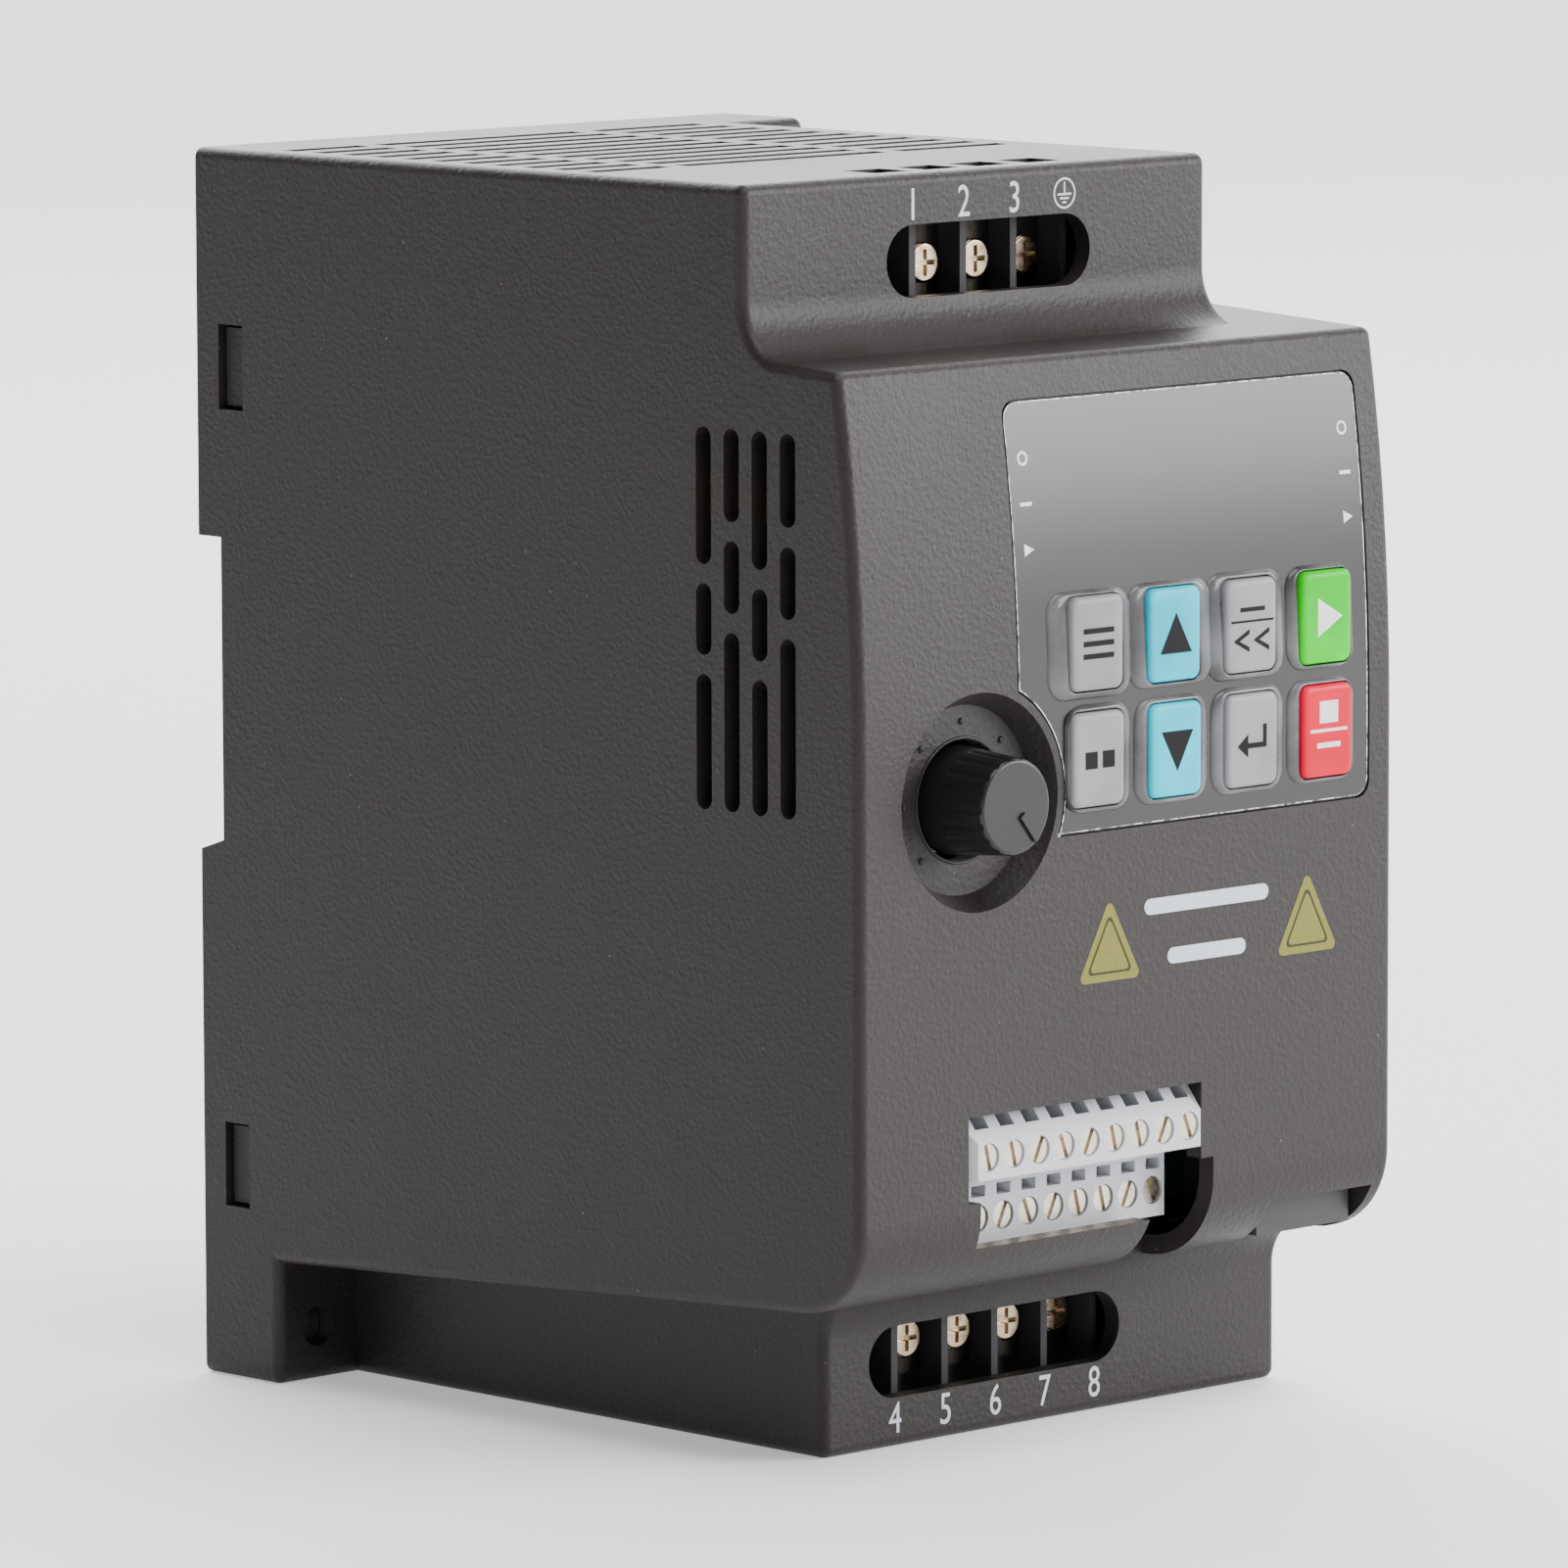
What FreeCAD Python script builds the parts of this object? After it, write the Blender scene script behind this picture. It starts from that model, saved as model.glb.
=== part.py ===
import FreeCAD, Part
import math
import os

V = FreeCAD.Vector

# A compact wall- or rail-mounted motor drive, in millimetres.
# Design frame: X to the right, Y from the front plane (0) back to the mounting plane, Z up from the base.
# Each solid is written with Y moved so that the frame's origin is under the middle of the whole object.

# Overall sizes
width = 85.0
height = 142.0
depth = 108.0
wall = 2.2
edge_round = 1.2
past = 1.0

# Stepped body: the upper terminal step is cut away on the right, the lower one on the left
step_depth = 18.0
corner_inset = 12.0
belly_height = 19.5
ledge_drop = 19.8
shoulder_slope = 0.0555
upper_step_fillet = 6.5
lower_step_fillet = 5.5
step_bury = 0.15
bow_drop = 42.2
bow_radius = 255.0
chin_radius = 10.0
flange_depth = 12.7

# Clearances
snap_gap = 0.2
slide_gap = 0.2
board_gap = 1.3
shaft_gap = 0.05
turn_gap = 0.6

# Keypad
key_pitch_x = 12.3
key_pitch_z = 12.85
key_width = 8.2
key_height = 10.5
key_proud = 1.0
key_round = 1.1
key_gap = 0.15
key_first_inset = 11.6
key_first_rise = 8.0
key_crown = 0.6
key_stem = 1.5
key_travel = 0.35
key_flange = 0.7
key_flange_thick = 0.8
overlay_right_inset = 4.3
overlay_top_inset = 4.5
overlay_side_margin = 3.4
display_zone = 22.2
overlay_recess = 0.6
overlay_thick = 0.5
overlay_round = 2.0
overlay_gap = 0.25
overlay_notch = 13.3
overlay_notch_corner = 1.2
display_width = 44.0
display_height = 15.0
display_drop = 0.6
led_radius = 1.4
led_hole = 1.1
led_pitch = 5.0
led_inset = 2.4
led_top_inset = 6.2
led_behind = 0.5

# Speed knob and its potentiometer
knob_overlay_inset = 6.2
knob_below_overlay_top = 43.2
knob_recess_mouth = 12.1
knob_recess_floor = 10.5
knob_recess_depth = 3.0
knob_base_radius = 6.1
knob_top_radius = 5.3
knob_reach = 5.9
pointer_height = 0.35
knob_bore_end = 1.8
knob_flutes = 18
knob_flute_radius = 1.3
knob_flute_depth = 0.12
knob_flute_foot = 0.5
knob_crown = 0.5
knob_skirt = 1.2
knob_cup_wall = 0.7
pointer_start = 1.2
pointer_end_gap = 0.4
pointer_width = 0.9
pointer_angle = 50.8
shaft_radius = 3.0
shaft_foot_radius = 2.5
pot_body = 9.8
pot_depth = 4.4
pot_shoulder = 4.6
pot_foot_gap = 1.2
pot_bore_gap = 1.0
switch_size = 6.0
switch_depth = 3.5
plunger_radius = 1.6
plunger_reach = 4.3
post_radius = 2.3
post_hole = 1.0
post_left_inset = 9.5
post_right_inset = 6.7
post_top_drop = 2.2
post_low_drop = 1.0
post_knob_gap = 5.0
board_drop = 4.0

# Power terminals
terminal_pitch = 7.95
input_poles = 4
output_poles = 5
input_centre_x = -4.43
output_centre_x = -3.5
terminal_window_height = 8.1
window_extra = 0.2
window_inset = 9.7
screw_inset = 10.6
divider_front = 22.1
divider_thick = 1.0
plate_front = 25.4
screw_head_radius = 2.3
screw_head_height = 1.3
terminal_block_height = 15.0
wire_hole_width = 5.4
wire_hole_depth = 5.0
wire_hole_inset = 1.0
plate_thick = 0.8
plate_half_height = 4.2
clamp_shank = 1.5
clamp_hole = 1.6
clamp_shank_length = 7.5
clamp_hole_depth = 8.0
screw_crown = 0.35
cross_reach = 1.5
cross_half = 0.3
cross_depth = 0.7

# Control terminals
control_pitch = 3.96
upper_poles = 9
lower_poles = 8
control_right_x = 11.05
control_screw_radius = 1.5
upper_deck_bottom = 32.6
upper_deck_height = 7.2
upper_deck_bevel = 2.4
lower_deck_front = 5.65
lower_deck_bottom = 24.2
lower_deck_height = 7.6
upper_screw_rise = 2.5
lower_screw_rise = 3.0
upper_deck_lip = 3.0
upper_deck_end_bevel = (1.3, 1.6)
wire_slot_half = 1.1
screw_well_depth = 4.0
control_screw_length = 3.35
control_screw_sunk = 0.25
control_slot_depth = 0.7
control_slot_half = 0.28
screw_first_turn = 68.0
screw_turn_step = 47.0
deck_end = 1.2
control_window_top = 39.85
control_window_mid = 31.2
control_window_foot = 25.0
cable_exit_width = 9.4
cable_exit_extra = 2.0
cable_exit_depth = 11.0
cable_exit_round = 2.0
control_window_step = 1.9
window_past = 1.5

# Serial port at the lower right
port_right_inset = 2.4
port_width = 16.6
port_top = 24.75
jack_front = 3.9
jack_depth = 13.4
jack_height = 12.4
jack_gap = 0.7
plug_width = 11.8
plug_depth = 8.0
jack_foot = 0.9
jack_lip = 1.6
jack_roof = 3.0
tongue_half = 3.2
tongue_height = 9.0

# Ventilation
vent_slot = 2.4
vent_pitch = 4.4
vent_first_y = 11.0
vent_columns = 4
vent_bridge = 2.1
vent_top_drop = 6.8
vent_lengths_even = (10.2, 7.95, 19.7)
vent_lengths_odd = (15.1, 7.9, 14.9)
slit_width = 2.4
slit_pitch = 5.0
slit_count = 11
slit_back_inset = 12.5
slit_side_inset = 3.2
slit_rib = 2.6
slit_column_left = 11.4
slit_column_right = 17.0
slit_right_margin = 1.8
fan_slit_rows = 7
fan_slit_margin = 1.0

# Rear base, rail channel and mounting holes
rail_height = 35.0
rail_centre_z = 80.0
rail_depth = 3.85
rail_hook = 1.5
rail_hook_height = 1.4
rail_slant = 1.6
rail_well_margin = 3.8
rail_hook_inset = 6.0
base_plate = 2.2
base_rim = 1.6
base_reach = 8.6
mount_hole_radius = 2.3
mount_inset_x = 6.0
mount_inset_z = 6.2
mount_boss_wall = 2.2
snap_height = 9.75
snap_depth = 4.1
snap_back_inset = 3.7
snap_inset_z = 24.9
hook_reach = 1.5
hook_gap = 0.4
hook_slope_gap = 0.9
latch_width = 22.0
latch_thick = 2.2
latch_length = 40.0
latch_nose = 1.8
latch_travel = 3.0
latch_lip = 2.6
latch_cover = 1.0
latch_slack = 2.0
latch_nose_thick = 1.2
latch_pull_half = 6.0
latch_pull_height = 7.0
latch_slot = (3.5, 2.5, 4.5)
latch_window = (3.0, 11.0, 19.0)

# Boards and cooling
board_thick = 1.6
keypad_board_front = 10.5
control_board_front = 15.2
power_board_front = 42.0
heatsink_front = 54.0
heatsink_plate = 5.0
heatsink_bottom = 26.0
heatsink_top_drop = 26.0
heatsink_side_gap = 3.0
fin_thick = 1.6
fin_count = 13
side_fin_thick = 6.0
fin_back_inset = 7.0
sink_screw_inset = 7.0
sink_screw_radius = 1.45
sink_hole_radius = 1.5
sink_hole_depth = 10.0
sink_thread_depth = 8.0
sink_post_radius = 3.0
sink_head_radius = 2.7
sink_head_well = 2.9
sink_shank_well = 1.7
sink_head_front = 1.9
sink_head_back = 0.4
spacer_hole_depth = 4.0
fan_size = 40.0
fan_thick = 10.0
fan_bore = 18.6
fan_hub = 8.0
fan_blades = 7
fan_pin = 1.0
fan_pin_front = 1.8
fan_web = 1.6
fan_strut_half = 0.9
fan_corner_inset = 3.6
fan_corner_hole = 1.7
fan_turn_gap = 0.6
fan_rotor_foot = 0.8
fan_rotor_head = 2.2
blade_root = 0.8
blade_reach = 4.2
blade_half = 0.5
blade_angle = 48.0
fan_back_inset = 29.5
spacer_inset = 4.0
screw_shank = 0.95
screw_hole = 1.0
spacer_radius = 2.6
spacer_rise = 9.0
board_hole = 1.2
keypad_board_hole = 1.3
pan_head_radius = 1.9
pan_head_height = 1.3
keypad_screw_length = 5.0
control_screw_reach = 8.0

# Parts on the boards; each place is the middle, beside the centre line and above or below the knob's axis
capacitor_radius = 11.0
capacitor_height = 40.0
capacitor_drop = 22.0
capacitor_side_gap = 9.0
capacitor_gap = 1.0
groove_rise = 3.0
groove_height = 0.8
groove_depth = 0.5
module_size = (40.0, 7.5, 26.0)
module_place = (-6.0, -13.0)
bridge_size = (30.0, 6.0, 16.0)
bridge_place = (-5.0, 16.0)
bridge_hole = 2.0
relay_size = (15.0, 15.5, 19.0)
relay_place = (21.5, 33.5)
core_size = (18.0, 17.0, 20.0)
core_place = (25.5, 8.0)
core_window = (4.0, 3.5, 3.5)
choke_radius = 8.0
choke_ring = 3.4
choke_front = 7.0
choke_place = (16.0, -36.4)
processor_size = (14.0, 1.4, 14.0)
processor_place = (-19.0, -15.0)
board_link_size = (18.0, 5.0)
board_link_place = (11.0, -1.5)
power_link_size = (3.5, 21.0)
power_link_place = (33.25, -22.5)

# Places worked out from the sizes above
half = width / 2.0
ledge_height = height - ledge_drop
bow_start = ledge_height - bow_drop
slope_length = math.hypot(1.0, shoulder_slope)
tilt = math.atan(shoulder_slope)
chin_z = belly_height - shoulder_slope * chin_radius + chin_radius * slope_length
upper_right = half - corner_inset
lower_left = corner_inset - half
flange_front = depth - flange_depth
overlay_right = half - overlay_right_inset
overlay_width = 4 * key_pitch_x + 2 * overlay_side_margin
overlay_left = overlay_right - overlay_width
overlay_top = ledge_height - overlay_top_inset
overlay_height = display_zone + 2 * key_pitch_z
overlay_bottom = overlay_top - overlay_height
knob_x = overlay_left - knob_overlay_inset
knob_z = overlay_top - knob_below_overlay_top
window_high_z = height - window_inset
window_low_z = window_inset
screw_high_z = height - screw_inset
screw_low_z = screw_inset
port_x1 = half - port_right_inset
port_x0 = port_x1 - port_width
inner_half = half - wall
base_half = inner_half - snap_gap
board_half = inner_half - board_gap
fan_y = depth - fan_back_inset
switch_top = keypad_board_front - plunger_reach
fin_back = depth - fin_back_inset
sink_half = board_half - heatsink_side_gap + board_gap
sink_top = height - heatsink_top_drop
screw_well_radius = control_screw_radius + slide_gap / 2.0
rail_low = rail_centre_z - rail_height / 2.0
rail_high = rail_centre_z + rail_height / 2.0
latch_half = latch_width / 2.0
latch_low = rail_low - latch_length
groove_front = depth - latch_cover - latch_thick - 2 * slide_gap
groove_low = latch_low - latch_travel - latch_slack
split_y = step_depth + wall
exit_right = control_right_x + cable_exit_extra
exit_left = exit_right - cable_exit_width
lower_keys = ("function_key", "down_key", "enter_key", "stop_key")
upper_keys = ("menu_key", "up_key", "shift_key", "run_key")
front_y = knob_reach - (depth + knob_reach) / 2.0


def box(x0, x1, y0, y1, z0, z1):
    return Part.makeBox(x1 - x0, y1 - y0, z1 - z0, V(x0, y0, z0))


def rod(x, z, radius, y0, y1):
    return Part.makeCylinder(radius, y1 - y0, V(x, y0, z), V(0, 1, 0))


def column(x, y, radius, z0, z1):
    return Part.makeCylinder(radius, z1 - z0, V(x, y, z0), V(0, 0, 1))


def fuse_all(shapes):
    whole = shapes[0]
    for shape in shapes[1:]:
        whole = whole.fuse(shape)
    return whole.removeSplitter()


def cut_all(shape, tools):
    return shape.cut(Part.makeCompound(tools))


def write(name, solids):
    group = []
    for shape in solids:
        group.extend(shape.Solids)
    moved = [solid.translated(V(0, front_y, 0)) for solid in group]
    whole = moved[0] if len(moved) == 1 else Part.makeCompound(moved)
    whole.exportStep("parts/" + name + ".step")


def side_prism(edges, x0, x1):
    face = Part.Face(Part.Wire(edges))
    prism = face.extrude(V(x1 - x0, 0, 0))
    prism.translate(V(x0, 0, 0))
    return prism


def line(a, b):
    return Part.makeLine(V(0, *a), V(0, *b))


def arc(a, middle, b):
    return Part.Arc(V(0, *a), V(0, *middle), V(0, *b)).toShape()


def round_box(x0, x1, y0, y1, z0, z1, radius):
    solid = box(x0, x1, y0, y1, z0, z1)
    along_y = [e for e in solid.Edges if abs(e.tangentAt(e.FirstParameter).y) > 0.99]
    return solid.makeFillet(radius, along_y)


def obround(cx, cz, long_side, short_side, y0, y1):
    r = short_side / 2.0
    reach = long_side / 2.0 - r
    middle = box(cx - reach, cx + reach, y0, y1, cz - r, cz + r)
    return fuse_all([middle, rod(cx - reach, cz, r, y0, y1), rod(cx + reach, cz, r, y0, y1)])


def bow(z, inset=0.0):
    """Depth of the front surface at a height; it is flat below the bow's start."""
    rise = max(0.0, z - bow_start)
    return bow_radius - math.sqrt((bow_radius - inset) ** 2 - rise ** 2)


def ledge(y, inset=0.0):
    return ledge_height + shoulder_slope * y - inset * slope_length


def belly(y, inset=0.0):
    return belly_height - shoulder_slope * y + inset * slope_length


def on_circle(centre, radius, angle):
    return (centre[0] + radius * math.cos(angle), centre[1] + radius * math.sin(angle))


def side_outline(inset, back):
    """Side view of the full-width middle of the body, drawn inwards by an inset."""
    brow_y = bow(ledge_height, inset)
    for _ in range(6):
        brow_y = bow(ledge(brow_y, inset), inset)
    brow = (brow_y, ledge(brow_y, inset))
    chin = (chin_radius, chin_z)
    chin_inner = chin_radius - inset
    chin_low = on_circle(chin, chin_inner, -math.pi / 2 - tilt)
    chin_mid = on_circle(chin, chin_inner, -math.pi * 0.75)
    chin_top = (inset, chin_z)
    bow_low = (inset, bow_start)
    bow_mid_z = (bow_start + brow[1]) / 2.0
    bow_mid = (bow(bow_mid_z, inset), bow_mid_z)
    low_back = (back, belly(back, inset))
    high_back = (back, ledge(back, inset))
    return [line(low_back, chin_low), arc(chin_low, chin_mid, chin_top), line(chin_top, bow_low),
            arc(bow_low, bow_mid, brow), line(brow, high_back), line(high_back, low_back)]


def step_block(upper):
    """Terminal step: its face, its outer end and the concave round where it meets the ledge or the belly."""
    sign = 1.0 if upper else -1.0
    radius = upper_step_fillet if upper else lower_step_fillet
    edge = ledge if upper else belly
    end = height if upper else 0.0
    centre = (step_depth - radius, edge(step_depth - radius, step_bury) + sign * radius * slope_length)
    foot_angle = -sign * (math.pi / 2 - tilt)
    on_step = (step_depth, centre[1])
    on_edge = on_circle(centre, radius, foot_angle)
    middle = on_circle(centre, radius, foot_angle / 2.0)
    buried = (on_edge[0], bow_start)
    edges = [line((step_depth, end), on_step), arc(on_step, middle, on_edge), line(on_edge, buried),
             line(buried, (depth, bow_start)), line((depth, bow_start), (depth, end)),
             line((depth, end), (step_depth, end))]
    x0, x1 = (-half, upper_right) if upper else (lower_left, half)
    block = side_prism(edges, x0, x1)
    shown = [e for e in block.Edges if e.BoundBox.YMin < depth - 0.01 and is_shown(e, upper, on_edge[1])]
    return block.makeFillet(edge_round, shown)


def is_shown(edge, upper, limit):
    if upper:
        return edge.BoundBox.ZMin > limit - 0.01
    return edge.BoundBox.ZMax < limit + 0.01


def rounded(block):
    front_edges = [e for e in block.Edges if e.BoundBox.YMin < depth - 0.01]
    return block.makeFillet(edge_round, front_edges)


def body_blocks(inset, back):
    middle = side_prism(side_outline(inset, back), inset - half, half - inset)
    upper = box(inset - half, upper_right - inset, step_depth + inset, back, bow_start, height - inset)
    lower = box(lower_left + inset, half - inset, step_depth + inset, back, inset, bow_start)
    flange = box(inset - half, half - inset, flange_front + inset, back, inset, height - inset)
    return [middle, upper, lower, flange]


def rounded_body():
    middle, _, _, flange = body_blocks(0.0, depth)
    return fuse_all([rounded(middle), rounded(flange), step_block(True), step_block(False)])


def bow_slab(front, back, z0, z1):
    """Sheet that follows the front surface, between two depths below it."""
    low_front = (front, z0)
    high_front = (bow(z1) + front, z1)
    high_back = (bow(z1) + back, z1)
    low_back = (back, z0)
    start_front = (front, bow_start)
    start_back = (back, bow_start)
    mid_z = (bow_start + z1) / 2.0
    edges = [line(low_front, start_front),
             arc(start_front, (bow(mid_z) + front, mid_z), high_front),
             line(high_front, high_back),
             arc(high_back, (bow(mid_z) + back, mid_z), start_back),
             line(start_back, low_back), line(low_back, low_front)]
    return side_prism(edges, -half, half)


def overlay_outline(grow, y0, y1):
    x0 = overlay_left - grow
    x1 = overlay_right + grow
    z0 = overlay_bottom - grow
    z1 = overlay_top + grow
    plate = round_box(x0, x1, y0, y1, z0, z1, overlay_round)
    notch = rod(knob_x, knob_z, overlay_notch - grow, y0, y1)
    corner_x = knob_x + overlay_notch - grow
    corner = box(x0, corner_x - overlay_notch_corner, y0, y1, z0, knob_z)
    return cut_all(plate, [notch, corner])


def key_places():
    """Name, centre x and centre z of each key, lower row first."""
    first_x = overlay_left + key_first_inset
    first_z = overlay_bottom + key_first_rise
    places = []
    for row, names in enumerate((lower_keys, upper_keys)):
        for i, name in enumerate(names):
            places.append((name, first_x + i * key_pitch_x, first_z + row * key_pitch_z))
    return places


def key_window(x, z, grow, y0, y1):
    w = key_width / 2.0 + grow
    h = key_height / 2.0 + grow
    return round_box(x - w, x + w, y0, y1, z - h, z + h, key_round)


def display_box(grow, y0, y1):
    centre_x = (overlay_left + overlay_right) / 2.0
    centre_z = overlay_top - display_zone / 2.0 - display_drop
    w = display_width / 2.0 + grow
    h = display_height / 2.0 + grow
    return box(centre_x - w, centre_x + w, y0, y1, centre_z - h, centre_z + h)


def led_places():
    places = []
    for x in (overlay_left + led_inset, overlay_right - led_inset):
        for i in range(3):
            places.append((x, overlay_top - led_top_inset - i * led_pitch))
    return places


def pole_centres(count, centre_x):
    first = centre_x - (count - 1) * terminal_pitch / 2.0
    return [first + i * terminal_pitch for i in range(count)]


def side_vents(x0, x1):
    slots = []
    r = vent_slot / 2.0
    for number in range(vent_columns):
        lengths = vent_lengths_odd if number % 2 else vent_lengths_even
        y = vent_first_y + number * vent_pitch
        top = ledge_height - vent_top_drop
        for length in lengths:
            low = top - length + r
            high = top - r
            slots.append(box(x0, x1, y - r, y + r, low, high))
            for z in (low, high):
                slots.append(Part.makeCylinder(r, x1 - x0, V(x0, y, z), V(1, 0, 0)))
            top = top - length - vent_bridge
    return slots


def top_slits():
    left0 = slit_side_inset - half
    left1 = left0 + slit_column_left
    right1 = upper_right - slit_side_inset - slit_right_margin
    right0 = right1 - slit_column_right
    columns = ((left0, left1), (left1 + slit_rib, right0 - slit_rib), (right0, right1))
    slits = []
    r = slit_width / 2.0
    for i in range(slit_count):
        y = depth - slit_back_inset - i * slit_pitch
        for x0, x1 in columns:
            slits.append(box(x0, x1, y - r, y + r, height - wall - past, height + past))
    return slits


def wire_holes():
    y0 = split_y + wire_hole_inset
    holes = []
    for x in pole_centres(input_poles, input_centre_x):
        reach = wire_hole_width / 2.0
        holes.append(box(x - reach, x + reach, y0, y0 + wire_hole_depth, height - wall - past, height + past))
    for x in pole_centres(output_poles, output_centre_x):
        reach = wire_hole_width / 2.0
        holes.append(box(x - reach, x + reach, y0, y0 + wire_hole_depth, -past, wall + past))
    return holes


def fan_slits():
    slits = []
    for i in range(fan_slit_rows):
        offset = (i - (fan_slit_rows - 1) / 2.0) * slit_pitch
        reach = math.sqrt(fan_bore ** 2 - offset ** 2) - fan_slit_margin
        y = fan_y + offset
        slits.append(box(-reach, reach, y - slit_width / 2.0, y + slit_width / 2.0, -past, wall))
    return slits


def power_windows():
    tools = []
    rows = ((input_poles, input_centre_x, window_high_z), (output_poles, output_centre_x, window_low_z))
    for poles, x, z in rows:
        long_side = poles * terminal_pitch + window_extra
        tools.append(obround(x, z, long_side, terminal_window_height, step_depth - past, split_y + past))
    return tools


def control_window():
    left = control_right_x - upper_poles * control_pitch - deck_end
    right = control_right_x
    back = wall + window_past
    tall = box(left, right, -past, back, control_window_mid - past, control_window_top)
    low = box(left + control_window_step, exit_right, -past, back, control_window_foot, control_window_mid)
    foot = belly_height - 2 * wall
    gate = round_box(exit_left, exit_right, -past, cable_exit_depth, foot, control_window_mid,
                     cable_exit_round)
    return [tall, low, gate]


def snap_windows():
    tools = []
    y1 = depth - snap_back_inset
    for z in (snap_inset_z, height - snap_inset_z):
        for x0, x1 in ((-half - past, snap_gap - inner_half), (inner_half - snap_gap, half + past)):
            tools.append(box(x0, x1, y1 - snap_depth, y1, z - snap_height / 2.0, z + snap_height / 2.0))
    return tools


def rail_notch(x0, x1):
    front = depth - rail_depth
    back = depth + past
    slanted = (back, rail_low - rail_slant)
    edges = [line((front, rail_low), (front, rail_high)), line((front, rail_high), (back, rail_high)),
             line((back, rail_high), slanted), line(slanted, (front, rail_low))]
    return side_prism(edges, x0, x1)


def mount_places():
    return [(mount_inset_x - half, mount_inset_z), (half - mount_inset_x, height - mount_inset_z)]


def keypad_posts():
    left = post_left_inset - half
    right = half - post_right_inset
    top = overlay_top - post_top_drop
    return [(left, top), (right, top), (left, knob_z + knob_recess_mouth + post_knob_gap),
            (right, overlay_bottom - post_low_drop)]


def housing_tools():
    """Everything that is cut out of the housing."""
    mouth = knob_recess_mouth + past * (knob_recess_mouth - knob_recess_floor) / knob_recess_depth
    through = knob_recess_depth + wall + past
    front_low = belly_height + past
    front_high = ledge_height + past
    cone_depth = knob_recess_depth + past
    tools = [Part.makeCone(mouth, knob_recess_floor, cone_depth, V(knob_x, -past, knob_z), V(0, 1, 0))]
    tools.append(rod(knob_x, knob_z, knob_base_radius + turn_gap, 0, through))
    recess = bow_slab(-wall, overlay_recess, front_low, front_high)
    tools.append(recess.common(overlay_outline(overlay_gap, -wall, keypad_board_front)))
    tools.append(display_box(snap_gap, -past, switch_top))
    tools.extend(rod(x, z, led_hole, -past, switch_top) for x, z in led_places())
    tools.extend(key_window(x, z, key_gap, -past, switch_top) for _, x, z in key_places())
    tools.extend(rod(x, z, post_hole, 2 * wall, keypad_board_front + past) for x, z in keypad_posts())
    tools.extend(power_windows() + control_window() + snap_windows())
    tools.extend(top_slits() + wire_holes() + fan_slits())
    tools.extend(side_vents(-half - past, snap_gap - inner_half))
    tools.extend(side_vents(inner_half - snap_gap, half + past))
    tools.append(rail_notch(-half - past, half + past))
    port_back = jack_front + jack_depth + jack_gap
    port_step = belly_height + jack_foot - snap_gap
    plug_back = jack_front + jack_lip + plug_depth + snap_gap
    tools.append(box(port_x0, port_x1, -past, port_back, port_step, port_top))
    tools.append(box(port_x0, port_x1, -past, plug_back, belly_height - 2 * wall, port_top))
    mount_back = flange_front + wall + past
    tools.extend(rod(x, z, mount_hole_radius, flange_front - past, mount_back) for x, z in mount_places())
    return tools


def panel_rooms():
    """Boxes that part the moulding into its panels: sides, top, bottom, steps, front and cut-away corners."""
    far = 2 * depth
    side = inner_half
    top = height - wall
    brow = ledge_height - edge_round - wall
    chin = belly_height + chin_radius
    foot = belly_height - 2 * wall
    columns = (-side, exit_left, exit_right, port_x0, side)
    chins = [box(x0, x1, -far, split_y, foot, chin) for x0, x1 in zip(columns, columns[1:])]
    return chins + [box(-half - past, -side, -far, far, -past, height + past),
            box(side, half + past, -far, far, -past, height + past),
            box(-side, side, split_y, far, top, height + past),
            box(-side, side, split_y, far, -past, wall),
            box(-side, side, -far, split_y, brow, height + past),
            box(-side, side, -far, split_y, chin, brow),
            box(-side, side, -far, split_y, -past, foot),
            box(-side, side, split_y, far, bow_start, top),
            box(-side, side, split_y, far, wall, bow_start)]


def housing():
    """The moulded shell, as panels that meet face to face."""
    shell = rounded_body().cut(fuse_all(body_blocks(wall, depth + 2 * wall)))
    cup = rod(knob_x, knob_z, knob_recess_mouth + knob_cup_wall, wall / 2.0, knob_recess_depth + wall)
    posts = [rod(x, z, post_radius, wall / 2.0 + bow(z), keypad_board_front) for x, z in keypad_posts()]
    shell = cut_all(fuse_all([shell, cup] + posts), housing_tools())
    return [panel for room in panel_rooms() for panel in shell.common(room).Solids]


def heatsink_screw_places():
    x = sink_half - side_fin_thick / 2.0
    low = heatsink_bottom + sink_screw_inset
    high = sink_top - sink_screw_inset
    return [(side * x, z) for side in (-1, 1) for z in (low, high)]


def snap_hooks():
    """Hooks on the base's rim that spring into the housing's side windows."""
    hooks = []
    y1 = depth - snap_back_inset
    reach = snap_height / 2.0 - hook_gap
    for z in (snap_inset_z, height - snap_inset_z):
        for side in (-1, 1):
            x0, x1 = sorted((side * base_half, side * (base_half + hook_reach)))
            hooks.append(box(x0, x1, y1 - snap_depth + hook_slope_gap, y1 - hook_gap, z - reach, z + reach))
    return hooks


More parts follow.
